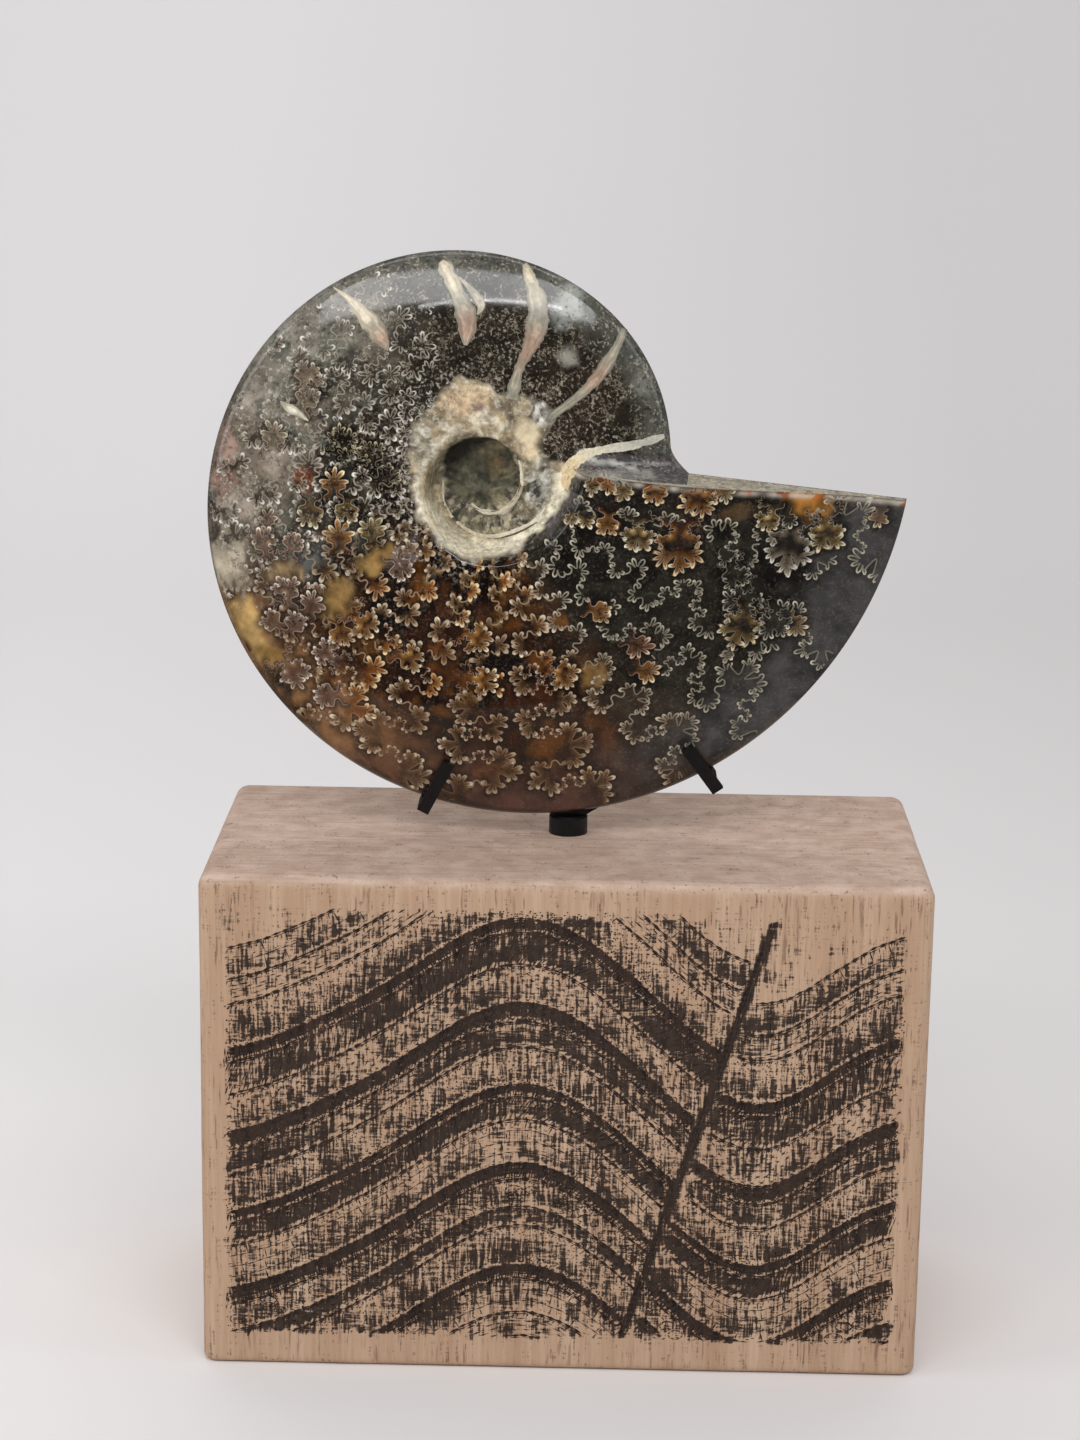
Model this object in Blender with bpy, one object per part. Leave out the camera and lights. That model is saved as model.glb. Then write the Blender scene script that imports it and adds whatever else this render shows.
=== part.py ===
"""An ammonite fossil half, flat cut face at the back, held upright in a small black bracket on a wooden block.

Metres, +Z up, the front faces -Y. The origin is the centre of the block's underside.
"""

import math

import bmesh
import bpy
from mathutils import Vector

GAP = 0.0003  # clearance kept between touching pieces

# Wooden block
BLOCK_WIDTH = 0.110
BLOCK_DEPTH = 0.0545
BLOCK_HEIGHT = 0.0783
BLOCK_CORNER_RADIUS = 0.0022
BLOCK_TOP_RADIUS = 0.0020
BLOCK_FOOT_RADIUS = 0.001

# Bracket
POST_RADIUS = 0.003
POST_Y = 0.0008
POST_DEPTH_IN_BLOCK = 0.0215
BORE_DEPTH = 0.0218
BORE_CLEARANCE = 0.0003
POST_TOP = BLOCK_HEIGHT + 0.0030
POST_CHAMFER = 0.0003
BAR = 0.0024  # thickness of the yoke and back rest, front to back
BAR_WIDTH = 0.0023
YOKE_FLAT = 0.0052  # level middle of the yoke, welded to the post
BACK_REST_TOP = BLOCK_HEIGHT + 0.046
BACK_REST_CHAMFER = 0.0005
CLAW_WIDTH = 0.0019
FINGER_THICKNESS = 0.0014
FINGER_SLOPE = math.radians(14)

# Fossil: a logarithmic spiral, cut in half along its plane of symmetry
SPIRAL_X = -0.0133
SPIRAL_Z = BLOCK_HEIGHT + 0.0559
CUT_PLANE_Y = -0.0008
GROWTH = 0.132  # natural logarithm of the radius gained per radian
MOUTH_RADIUS = 0.0640  # venter of the last whorl, at the mouth
MOUTH_ANGLE = 2 * math.pi  # turn angle of the mouth; 0 is the same ray one whorl earlier
FLANK_HEIGHT = 0.0120  # crown of the flank at the mouth, above the rim's own thickness
RIM_HEIGHT = 0.0020
RIM_WIDTH = 0.0013
CROWN_AT = 0.2  # share of the whorl's height where the flank stands highest
WALL_SHARE = 0.065  # share of the whorl's height that the umbilical wall takes
SHOULDER = 0.92  # height of the umbilical shoulder, as a share of the crown
UMBILICUS_RADIUS = 0.0052
UMBILICUS_GROWTH = 0.105
MOUTH_FLARE = 0.0032  # how far the umbilical seam opens out towards the mouth
MOUTH_FLARE_FROM = 5.2
MOUTH_FLARE_SPAN = 1.24

# The mouth is cut along a straight line that falls gently towards the tip
CUT_LINE_OFFSET = 0.00458
CUT_LINE_SLOPE = 0.1
CUT_BEND_SPAN = 0.9

# Concave fillet between the earlier whorl and the mouth's face
FILLET_HEIGHT = 0.0043
FILLET_START = 0.85
FILLET_FLARE = 0.0029
FILLET_FLARE_SPAN = 0.15

# The umbilicus shows one band of the whorl before, which rises out of a matrix floor
BAND_START_ROW = -29
BAND_RISE = 1.1
FLOOR_HEIGHT = 0.0026
FLOOR_DISH = 0.0006

ROWS_PER_TURN = 84
WALL_STATIONS = (0.3, 0.75, 1.0)  # shares of the umbilical wall's width
COVERED_STATIONS = (0.35, 0.7, 1.0)  # from the wall out to where the next whorl would cover this one
INNER_COLUMNS = len(WALL_STATIONS) + len(COVERED_STATIONS)
BAND_START = MOUTH_ANGLE * BAND_START_ROW / ROWS_PER_TURN
OUTER_SHARES = (0.12, 0.25, 0.4, 0.55, 0.69, 0.81, 0.9, 0.96)
RIM_INSETS = (1.0, 0.5, 0.16, 0.03)  # shares of the rim's width, from its foot to its edge


def clear_scene():
    for obj in list(bpy.data.objects):
        bpy.data.objects.remove(obj, do_unlink=True)


def material(name, colour, roughness, metallic=0.0, coat=0.0):
    made = bpy.data.materials.new(name)
    made.use_nodes = True
    shader = made.node_tree.nodes["Principled BSDF"]
    shader.inputs["Base Color"].default_value = (*colour, 1.0)
    shader.inputs["Roughness"].default_value = roughness
    shader.inputs["Metallic"].default_value = metallic
    shader.inputs["Coat Weight"].default_value = coat
    made.diffuse_color = (*colour, 1.0)
    return made


def add_object(name, bm, finish, smooth_angle=None):
    bmesh.ops.recalc_face_normals(bm, faces=bm.faces)
    mesh = bpy.data.meshes.new(name)
    bm.to_mesh(mesh)
    bm.free()
    mesh.materials.append(finish)
    if smooth_angle is not None:
        mesh.shade_smooth()
        mesh.set_sharp_from_angle(angle=smooth_angle)
    obj = bpy.data.objects.new(name, mesh)
    bpy.context.scene.collection.objects.link(obj)
    return obj


def smoothstep(x):
    x = min(max(x, 0.0), 1.0)
    return x * x * (3 - 2 * x)


def mix(a, b, share):
    return a + (b - a) * share


# Fossil geometry. A turn angle grows by 2 pi with each whorl, so it names both a direction and a whorl.


def growth_to(turn):
    return math.exp(GROWTH * (turn - MOUTH_ANGLE))


def venter_radius(turn):
    """Outer edge of the whorl, with the small flare where the fillet runs out onto the mouth's face."""
    flare = FILLET_FLARE * max(0.0, 1 - abs(turn) / FILLET_FLARE_SPAN) ** 2
    return MOUTH_RADIUS * growth_to(turn) + flare


def seam_radius(turn):
    """Inner edge of the whorl, where its umbilical wall meets the whorl before."""
    opening = min(max((turn - MOUTH_FLARE_FROM) / MOUTH_FLARE_SPAN, 0.0), 1.2)
    return UMBILICUS_RADIUS * math.exp(UMBILICUS_GROWTH * turn) + MOUTH_FLARE * opening**2


def rim_rounding(inset):
    """Height of the rounded rim at this distance inside the venter."""
    across = 1 - min(inset / RIM_WIDTH, 1.0)
    return RIM_HEIGHT * math.sqrt(1 - across * across)


def cut_angle(radius):
    """Direction of the mouth's cut line at this distance from the spiral's centre."""
    lift = CUT_LINE_OFFSET / (max(radius, CUT_LINE_OFFSET * 1.05) * math.hypot(1, CUT_LINE_SLOPE))
    return math.asin(lift) - math.atan(CUT_LINE_SLOPE)


def bent(turn, radius):
    """Direction of a point, with the rows near the mouth bent so that one lies along the cut line."""
    direction = (turn + math.pi) % (2 * math.pi) - math.pi
    near = 1 - smoothstep(abs(direction) / CUT_BEND_SPAN)
    inner, outer = seam_radius(0.0), seam_radius(MOUTH_ANGLE)
    return direction + cut_angle(radius) * near * smoothstep((radius - inner) / (outer - inner))


def height_over_cut_line(x, z):
    return (z - CUT_LINE_OFFSET + CUT_LINE_SLOPE * x) / math.hypot(1, CUT_LINE_SLOPE)


def whorl_height(turn, radius):
    """Height of the whorl's polished surface above the cut plane: wall, shoulder, crown, flank and rim."""
    if turn <= BAND_START:
        return FLOOR_HEIGHT
    scale = growth_to(turn)
    crown = FLANK_HEIGHT * scale
    rim = rim_rounding(max(venter_radius(turn) - radius, 0.0)) * mix(1.0, scale, 0.5)
    inner = seam_radius(turn)
    share = (radius - inner) / (MOUTH_RADIUS * scale - inner)
    if share < WALL_SHARE:
        below = whorl_height(turn - MOUTH_ANGLE, inner)
        height = mix(below, crown * SHOULDER + rim, smoothstep(share / WALL_SHARE))
    elif share < CROWN_AT:
        short = 1 - (share - WALL_SHARE) / (CROWN_AT - WALL_SHARE)
        height = crown * mix(1.0, SHOULDER, short * short) + rim
    else:
        out = min((share - CROWN_AT) / (1 - CROWN_AT), 1.0)
        domed = 1 - out * out
        lens = 0.5 + 0.5 * math.cos(math.pi * out)
        height = crown * mix(domed, lens, smoothstep((turn - math.pi) / math.pi)) + rim
    return mix(FLOOR_HEIGHT, height, smoothstep((turn - BAND_START) / BAND_RISE))


def surface_height(turn, radius):
    """Front surface above the cut plane, with the concave fillet above the mouth's face."""
    height = whorl_height(turn, radius)
    if 0 <= turn < 1:
        direction = bent(turn, radius)
        over = height_over_cut_line(radius * math.cos(direction), radius * math.sin(direction))
        near = 1 - min(max(over / FILLET_HEIGHT, 0.0), 1.0)
        rise = FILLET_START * (1 - math.sqrt(1 - near * near))
        inset = max(venter_radius(turn) - radius, 0.0)
        edge = smoothstep(inset / (RIM_WIDTH * 0.5))
        height += max(whorl_height(MOUTH_ANGLE, radius) - height, 0.0) * rise * edge
    return height


def fossil_point(turn, radius, height):
    direction = bent(turn, radius)
    x = SPIRAL_X + radius * math.cos(direction)
    z = SPIRAL_Z + radius * math.sin(direction)
    return Vector((x, CUT_PLANE_Y - height, z))


def outer_radii(turn, start):
    """Radii from the covered part of the whorl out to its venter."""
    venter = venter_radius(turn)
    foot = venter - RIM_WIDTH
    radii = [mix(start, foot, share) for share in OUTER_SHARES]
    radii += [venter - RIM_WIDTH * inset for inset in RIM_INSETS]
    return radii


def inner_radii(turn):
    """Radii up the umbilical wall and on to where the next whorl covers this one."""
    inner, covered = seam_radius(turn), seam_radius(turn + MOUTH_ANGLE)
    wall = WALL_SHARE * (MOUTH_RADIUS * growth_to(turn) - inner)
    radii = [inner + wall * share for share in WALL_STATIONS]
    radii += [mix(inner + wall, covered, share) for share in COVERED_STATIONS]
    return radii


def fossil_rows(bm):
    """Rows of vertices from the band in the umbilicus to the mouth.

    Each row starts on the row one whorl before, or on the umbilicus floor.
    """
    rows = {}
    for row in range(BAND_START_ROW, ROWS_PER_TURN + 1):
        turn = MOUTH_ANGLE * row / ROWS_PER_TURN
        below = rows.get(row - ROWS_PER_TURN)
        if below:
            verts = [below[INNER_COLUMNS]]
        else:
            verts = [bm.verts.new(fossil_point(turn, seam_radius(turn), FLOOR_HEIGHT))]
        radii = inner_radii(turn)
        if row >= 0:
            radii += outer_radii(turn, radii[-1])
        verts += [bm.verts.new(fossil_point(turn, r, surface_height(turn, r))) for r in radii]
        if row >= 0:
            verts.append(bm.verts.new(fossil_point(turn, venter_radius(turn), 0.0)))
        rows[row] = verts
    return rows


def fossil_half(finish):
    """One closed solid: polished front, flat cut back and the straight cut at the mouth."""
    bm = bmesh.new()
    rows = fossil_rows(bm)
    for row in range(BAND_START_ROW, ROWS_PER_TURN):
        here, there = rows[row], rows[row + 1]
        for j in range(min(len(here), len(there)) - 1):
            bm.faces.new((here[j], here[j + 1], there[j + 1], there[j]))
    first, last = rows[0], rows[ROWS_PER_TURN]
    mouth = first[INNER_COLUMNS:] + last[:0:-1]
    bm.faces.new(mouth)
    bm.faces.new([rows[row][-1] for row in range(ROWS_PER_TURN + 1)])
    start = BAND_START_ROW
    floor = [rows[row][0] for row in range(start, start + ROWS_PER_TURN + 1)]
    floor += rows[start][INNER_COLUMNS - 1 : 0 : -1]
    centre = sum((v.co for v in floor), Vector()) / len(floor)
    hub = bm.verts.new(centre + Vector((0, FLOOR_DISH, 0)))
    for a, b in zip(floor, floor[1:] + floor[:1]):
        bm.faces.new((hub, a, b))
    return add_object("ammonite_half", bm, finish, smooth_angle=math.radians(40))


# Stand


def box(bm, size, centre):
    made = bmesh.ops.create_cube(bm, size=1.0)["verts"]
    bmesh.ops.scale(bm, vec=size, verts=made)
    bmesh.ops.translate(bm, vec=centre, verts=made)
    return made


def bevel(bm, chosen, radius, segments):
    edges = [e for e in bm.edges if chosen(*(v.co for v in e.verts))]
    bmesh.ops.bevel(bm, geom=edges, offset=radius, segments=segments, profile=0.5, affect="EDGES")


def wood_block(finish):
    """Rounded block with a blind bore for the post."""
    bm = bmesh.new()
    box(bm, (BLOCK_WIDTH, BLOCK_DEPTH, BLOCK_HEIGHT), (0, 0, BLOCK_HEIGHT / 2))
    near = 1e-6
    bevel(bm, lambda a, b: abs(a.z - b.z) > near, BLOCK_CORNER_RADIUS, 5)
    bevel(bm, lambda a, b: min(a.z, b.z) > BLOCK_HEIGHT - near, BLOCK_TOP_RADIUS, 5)
    bevel(bm, lambda a, b: max(a.z, b.z) < near, BLOCK_FOOT_RADIUS, 2)
    block = add_object("wood_block", bm, finish, smooth_angle=math.radians(25))
    bore = bmesh.new()
    depth = BORE_DEPTH + BLOCK_TOP_RADIUS
    bmesh.ops.create_cone(
        bore,
        cap_ends=True,
        segments=36,
        radius1=POST_RADIUS + BORE_CLEARANCE,
        radius2=POST_RADIUS + BORE_CLEARANCE,
        depth=depth,
    )
    centre = BLOCK_HEIGHT - BORE_DEPTH + depth / 2
    bmesh.ops.translate(bore, vec=(0, POST_Y, centre), verts=bore.verts)
    cutter = add_object("bore_cutter", bore, finish)
    cutter.hide_render = True
    cutter.display_type = "WIRE"
    cut = block.modifiers.new("Bore", "BOOLEAN")
    cut.operation = "DIFFERENCE"
    cut.object = cutter
    return block


def post(finish):
    """Round rod, glued into the block."""
    bm = bmesh.new()
    foot = BLOCK_HEIGHT - POST_DEPTH_IN_BLOCK
    height = POST_TOP - foot
    bmesh.ops.create_cone(
        bm, cap_ends=True, segments=36, radius1=POST_RADIUS, radius2=POST_RADIUS, depth=height
    )
    bevel(bm, lambda a, b: abs(a.z - b.z) < 1e-6, POST_CHAMFER, 1)
    bmesh.ops.translate(bm, vec=(0, POST_Y, foot + height / 2), verts=bm.verts)
    return add_object("post", bm, finish, smooth_angle=math.radians(30))


def rim_point(turn_degrees):
    turn = math.radians(turn_degrees)
    radius = MOUTH_RADIUS * growth_to(turn)
    return Vector((SPIRAL_X + radius * math.cos(turn), 0, SPIRAL_Z + radius * math.sin(turn)))


def leaning(degrees):
    """Unit vector in the front plane, leaning this far from upright towards +X."""
    lean = math.radians(degrees)
    return Vector((math.sin(lean), 0, math.cos(lean)))


# Where each claw grips the rim, how its finger leans, how far that reaches in over the rim and out past it,
# and how far behind the fossil the yoke's arm follows the finger's line
CLAWS = {
    "claw_left": dict(rim=rim_point(260.3), along=leaning(26), reach=0.0077, past=0.0017, arm=0.0048),
    "claw_right": dict(rim=rim_point(307.5), along=leaning(-35), reach=0.0055, past=0.0034, arm=0.0042),
}
BAR_BACK = CUT_PLANE_Y + GAP + BAR


def thickness_at(point):
    """Fossil's thickness at a point of the front plane, for the last whorl."""
    x, z = point.x - SPIRAL_X, point.z - SPIRAL_Z
    turn = math.atan2(z, x) % (2 * math.pi)
    radius = math.hypot(x, z)
    if radius > venter_radius(turn):
        return 0.0
    return surface_height(turn, radius)


def claw(name, place, finish):
    """Flat strip bent forward under the rim and up over the fossil's front."""
    rim, along, reach, past = (place[key] for key in ("rim", "along", "reach", "past"))
    steps = 24
    lift = math.tan(FINGER_SLOPE)
    inner = -GAP
    outer = inner - FINGER_THICKNESS
    behind = 0.0
    for i in range(steps + 1):
        q = reach * i / steps
        behind = max(behind, thickness_at(rim + along * q) - lift * q)
    clear = CUT_PLANE_Y - behind - GAP

    def back_face(q):
        return clear - lift * q

    thick = FINGER_THICKNESS / math.cos(FINGER_SLOPE)
    outline = [
        (inner, BAR_BACK),
        (inner, back_face(inner)),
        (reach, back_face(reach)),
        (reach, back_face(reach) - thick),
        (-past, back_face(-past) - thick),
    ]
    if past > -outer + 1e-5:
        outline += [(-past, back_face(-past)), (outer, back_face(outer))]
    outline.append((outer, BAR_BACK))
    across = along.cross(Vector((0, 1, 0)))
    bm = bmesh.new()
    corners = []
    for q, y in outline:
        point = rim + along * q - across * (CLAW_WIDTH / 2)
        corners.append(bm.verts.new((point.x, y, point.z)))
    face = bm.faces.new(corners)
    grown = bmesh.ops.extrude_face_region(bm, geom=[face])["geom"]
    moved = [v for v in grown if isinstance(v, bmesh.types.BMVert)]
    bmesh.ops.translate(bm, vec=across * CLAW_WIDTH, verts=moved)
    return add_object(name, bm, finish)


def yoke(finish):
    """Square bar bent to a shallow V behind the fossil, from the post's top out to the two claws."""
    left, right = CLAWS["claw_left"], CLAWS["claw_right"]
    middle = POST_TOP + GAP + BAR_WIDTH / 2
    route = [
        left["rim"],
        left["rim"] + left["along"] * left["arm"],
        Vector((-YOKE_FLAT / 2, 0, middle)),
        Vector((YOKE_FLAT / 2, 0, middle)),
        right["rim"] + right["along"] * right["arm"],
        right["rim"],
    ]
    sides = []
    for i, point in enumerate(route):
        into = (point - route[i - 1]).normalized() if i else (route[1] - point).normalized()
        out = (route[i + 1] - point).normalized() if i < len(route) - 1 else into
        mean = (into + out).normalized()
        normal = Vector((-mean.z, 0, mean.x))
        half = BAR_WIDTH / 2 / max(mean.dot(into), 0.5)
        sides.append((point + normal * half, point - normal * half))
    bm = bmesh.new()
    loop = [a for a, b in sides] + [b for a, b in reversed(sides)]
    verts = [bm.verts.new((p.x, CUT_PLANE_Y + GAP, p.z)) for p in loop]
    face = bm.faces.new(verts)
    grown = bmesh.ops.extrude_face_region(bm, geom=[face])["geom"]
    moved = [v for v in grown if isinstance(v, bmesh.types.BMVert)]
    bmesh.ops.translate(bm, vec=(0, BAR, 0), verts=moved)
    return add_object("yoke", bm, finish)


def back_rest(finish):
    """Upright bar on the yoke that the flat back of the fossil leans on."""
    bm = bmesh.new()
    foot = POST_TOP + GAP + BAR_WIDTH + GAP
    height = BACK_REST_TOP - foot
    centre = (0, CUT_PLANE_Y + GAP + BAR / 2, foot + height / 2)
    box(bm, (BAR_WIDTH, BAR, height), centre)
    bevel(bm, lambda a, b: min(a.z, b.z) > BACK_REST_TOP - 1e-6, BACK_REST_CHAMFER, 1)
    return add_object("back_rest", bm, finish)


def main():
    clear_scene()
    wood = material("wood", (0.52, 0.34, 0.25), 0.7)
    black_steel = material("black_steel", (0.015, 0.015, 0.016), 0.5, metallic=0.0)
    fossil = material("fossil", (0.10, 0.07, 0.045), 0.15, coat=0.6)
    wood_block(wood)
    post(black_steel)
    yoke(black_steel)
    back_rest(black_steel)
    for name, place in CLAWS.items():
        claw(name, place, black_steel)
    fossil_half(fossil)


main()
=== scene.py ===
"""A polished ammonite half, held upright in a black claw bracket on an engraved wooden block.

The fossil is built in millimetres about its spiral's centre: x to the mouth, z up, height towards the front.
"""

import math

import bpy
import numpy as np
from mathutils import Matrix, Vector, kdtree


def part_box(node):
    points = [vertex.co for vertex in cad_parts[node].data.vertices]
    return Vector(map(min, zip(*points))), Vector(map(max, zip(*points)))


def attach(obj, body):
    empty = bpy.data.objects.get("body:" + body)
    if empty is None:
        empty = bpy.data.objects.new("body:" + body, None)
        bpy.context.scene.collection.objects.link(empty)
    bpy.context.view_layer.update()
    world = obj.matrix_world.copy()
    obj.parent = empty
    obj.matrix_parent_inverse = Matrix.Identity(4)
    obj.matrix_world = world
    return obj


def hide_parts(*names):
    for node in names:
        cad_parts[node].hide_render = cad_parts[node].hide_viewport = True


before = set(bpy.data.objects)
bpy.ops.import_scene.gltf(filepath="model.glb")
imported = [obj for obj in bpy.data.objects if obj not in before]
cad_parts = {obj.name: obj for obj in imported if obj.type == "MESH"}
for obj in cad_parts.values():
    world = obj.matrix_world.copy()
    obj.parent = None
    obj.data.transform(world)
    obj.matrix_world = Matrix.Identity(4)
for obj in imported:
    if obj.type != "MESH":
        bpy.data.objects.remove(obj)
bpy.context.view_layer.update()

# Spiral, as in the CAD part
FOSSIL_LO, FOSSIL_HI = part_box("ammonite_half")
FOSSIL_WIDTH = 106.61  # in fossil millimetres
FOSSIL_SIZE = FOSSIL_HI - FOSSIL_LO
CENTRE_SHARE_X, CENTRE_SHARE_Z = 0.39993, 0.60221  # where the spiral's centre is across and up the fossil
UNIT = FOSSIL_SIZE.x / FOSSIL_WIDTH
CENTRE_X = FOSSIL_LO.x + CENTRE_SHARE_X * FOSSIL_SIZE.x
CENTRE = Vector((CENTRE_X, FOSSIL_HI.y, FOSSIL_LO.z + CENTRE_SHARE_Z * FOSSIL_SIZE.z))
TURN = 2 * math.pi
GROWTH = 0.132  # of the radius, per radian
MOUTH_RADIUS = 64.0
FLANK_HEIGHT = 12.0  # of the crown over the rim, at the mouth
RIM_HEIGHT = 2.0
RIM_WIDTH = 1.3
CROWN_AT = 0.2  # share of the way out across the whorl
WALL_SHARE = 0.065  # width of the umbilicus's wall, as a share of the whorl's
SHOULDER = 0.92  # height where the wall ends, as a share of the crown's
UMBILICUS_RADIUS = 5.2
UMBILICUS_GROWTH = 0.105  # of its radius, per radian
CUT_LINE_OFFSET = 4.58  # height of the mouth's cut line over the centre
CUT_LINE_SLOPE = 0.1  # how far that line falls per millimetre
CUT_BEND_SPAN = 0.9  # turn within which rows are bent towards that line
FILLET_HEIGHT = 4.3  # of the hollow curve above the cut line
FILLET_START = 0.85  # share of the step at the mouth that the curve takes up
BAND_START = -2.169  # turn where the inner whorl comes out of the floor
BAND_RISE = 1.1  # turn within which it rises to its full height
FLOOR_HEIGHT = 2.6  # of the umbilicus
BACK_PLATE = 0.3  # thickness of the piece that shows the cut back
FLANK_MARGIN = 0.9  # sutures stay this far inside the venter

SUTURE_STEP = 0.255  # turn between neighbouring septa
TOOTH = 1.28  # width of one tooth of a suture's frill
ROW_STEP = 0.168  # distance between the rows of a suture's ribbon


def smoothstep(x):
    """0 at 0 and below, 1 at 1 and above, with soft ends."""
    x = np.clip(x, 0.0, 1.0)
    return x * x * (3 - 2 * x)


def rises(value, start, end):
    """0 below start and 1 above end, smoothly."""
    return smoothstep((value - start) / (end - start))


def mix(a, b, share):
    """The value this share of the way from a to b."""
    return a + (b - a) * share


def bell(away, width):
    """1 where away is 0, falling to 0 over about this width on either side."""
    return np.exp(-((away / width) ** 2))


def rgb(r, g, b):
    """Linear colour from the 0 to 255 values that a screen shows."""
    shown = np.array([r, g, b]) / 255
    return np.where(shown < 0.04045, shown / 12.92, ((shown + 0.055) / 1.055) ** 2.4)


def value_noise(x, z, size, seed):
    """Smooth noise from -1 to 1 with features of this size."""
    gx, gz = x / size, z / size
    ix, iz = np.floor(gx).astype(np.int64), np.floor(gz).astype(np.int64)
    fx, fz = smoothstep(gx - ix), smoothstep(gz - iz)

    def corner(dx, dz):
        h = ((ix + dx) * 374761393 + (iz + dz) * 668265263 + seed * 982451653) & 0x7FFFFFFF
        h = ((h ^ (h >> 13)) * 1274126177) & 0x7FFFFFFF
        return ((h >> 7) & 0xFFFF) / 32767.5 - 1

    return mix(mix(corner(0, 0), corner(1, 0), fx), mix(corner(0, 1), corner(1, 1), fx), fz)


def fractal(x, z, size, seed, octaves=3):
    """Noise with coarse and fine features, from about -1 to 1."""
    total = 0.0
    for i in range(octaves):
        total = total + value_noise(x, z, size / 2**i, seed + i) * 0.6**i
    return total / 1.6


# Spiral geometry


def growth_to(turn):
    """Size of the spiral at this turn, as a share of its size at the mouth."""
    return np.exp(GROWTH * (turn - TURN))


def venter_radius(turn):
    """Outer edge of the whorl, a little wider where it starts behind the mouth."""
    return MOUTH_RADIUS * growth_to(turn) + 2.9 * np.maximum(0.0, 1 - np.abs(turn) / 0.15) ** 2


def seam_radius(turn):
    """Inner edge of the whorl, which opens out towards the mouth."""
    opening = np.clip((turn - 5.2) / 1.24, 0.0, 1.2)
    return UMBILICUS_RADIUS * np.exp(UMBILICUS_GROWTH * turn) + 3.2 * opening**2


def cut_angle(radius):
    """Direction of the straight cut line at this radius."""
    lift = CUT_LINE_OFFSET / (np.maximum(radius, CUT_LINE_OFFSET * 1.05) * math.hypot(1, CUT_LINE_SLOPE))
    return np.arcsin(lift) - math.atan(CUT_LINE_SLOPE)


def bend(direction, radius):
    """How far the rows near the mouth are turned, so that one lies along the straight cut line."""
    near = 1 - smoothstep(np.abs(direction) / CUT_BEND_SPAN)
    inner, outer = seam_radius(0.0), seam_radius(TURN)
    return cut_angle(radius) * near * smoothstep((radius - inner) / (outer - inner))


def plane_point(turn, radius):
    """Place in the front plane, x and z, of a point of the spiral."""
    direction = (turn + math.pi) % TURN - math.pi
    direction = direction + bend(direction, radius)
    return radius * np.cos(direction), radius * np.sin(direction)


def turn_of(x, z):
    """Turn angle, from 0 to 2 pi, and radius of points of the front plane."""
    radius = np.hypot(x, z)
    shown = np.arctan2(z, x)
    direction = shown
    for _ in range(12):
        direction = shown - bend(direction, radius)
    return np.where(direction < 0, direction + TURN, direction), radius


def over_cut_line(x, z):
    """Distance above the straight cut line at the mouth."""
    return (z - CUT_LINE_OFFSET + CUT_LINE_SLOPE * x) / math.hypot(1, CUT_LINE_SLOPE)


def whorl_height(turn, radius):
    """Height of a whorl's polished surface above the cut plane: wall, shoulder, crown, flank and rim."""
    if np.all(turn <= BAND_START):
        return np.full(np.broadcast(turn, radius).shape, FLOOR_HEIGHT)
    scale = growth_to(turn)
    crown = FLANK_HEIGHT * scale
    across = 1 - np.clip((venter_radius(turn) - radius) / RIM_WIDTH, 0.0, 1.0)
    rim = RIM_HEIGHT * np.sqrt(1 - across**2) * mix(1.0, scale, 0.5)
    inner = seam_radius(turn)
    share = (radius - inner) / (MOUTH_RADIUS * scale - inner)
    below = whorl_height(turn - TURN, inner)
    wall = mix(below, crown * SHOULDER + rim, smoothstep(share / WALL_SHARE))
    short = 1 - (share - WALL_SHARE) / (CROWN_AT - WALL_SHARE)
    shoulder = crown * mix(1.0, SHOULDER, short**2) + rim
    out = np.clip((share - CROWN_AT) / (1 - CROWN_AT), 0.0, 1.0)
    lens = 0.5 + 0.5 * np.cos(math.pi * out)
    flank = crown * mix(1 - out**2, lens, smoothstep((turn - math.pi) / math.pi)) + rim
    height = np.where(share < WALL_SHARE, wall, np.where(share < CROWN_AT, shoulder, flank))
    height = mix(FLOOR_HEIGHT, height, smoothstep((turn - BAND_START) / BAND_RISE))
    return np.where(turn <= BAND_START, FLOOR_HEIGHT, height)


# Rings round the umbilicus: direction in degrees and radius in millimetres

CRUST_EDGE = (
    (0, 12.3), (18, 12.6), (24, 10.6), (31, 9.8), (40, 10.6), (45, 14.6), (56, 15.6), (66, 15.0),
    (76, 14.3), (82, 14.2), (88, 16.0), (96, 16.3), (104, 16.9), (109, 15.9), (116, 15.7), (124, 14.4),
    (131, 14.5), (138, 14.9), (150, 13.1), (165, 11.5), (180, 10.7), (195, 10.4), (210, 10.3), (225, 10.4),
    (240, 10.6), (255, 10.8), (270, 10.7), (285, 10.3), (300, 10.2), (318, 10.4), (335, 10.9), (347, 11.5),
    (360, 12.3),
)
LEDGE = (
    (180, 9.3), (193, 9.4), (212, 9.3), (234, 9.6), (249, 9.6), (270, 9.3), (295, 9.5), (314, 9.5),
    (336, 10.2), (352, 10.8), (364, 11.5), (373, 12.2),
)
WHITE_LINE = (
    (0, 10.2), (14, 9.4), (30, 7.0), (60, 6.6), (150, 6.2), (178, 6.5), (204, 7.0), (224, 7.4),
    (240, 7.6), (258, 7.9), (280, 7.9), (299, 8.0), (313, 8.4), (327, 9.1), (342, 9.6), (360, 10.2),
)


def compass(x, z):
    """Direction of points from the spiral's centre, from 0 to 360 degrees."""
    return np.degrees(np.arctan2(z, x)) % 360


def read_ring(marks, angle):
    """Radius of a ring given as (direction, radius) marks."""
    return np.interp(angle, *zip(*marks))


def crust_depth(x, z):
    """Distance inside the ragged outer edge of the crust; below 0 outside it."""
    ragged = 0.8 * fractal(x, z, 2.6, 11, 2) + 0.35 * fractal(x, z, 1.2, 12, 1)
    return read_ring(CRUST_EDGE, compass(x, z)) + ragged - np.hypot(x, z)


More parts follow.
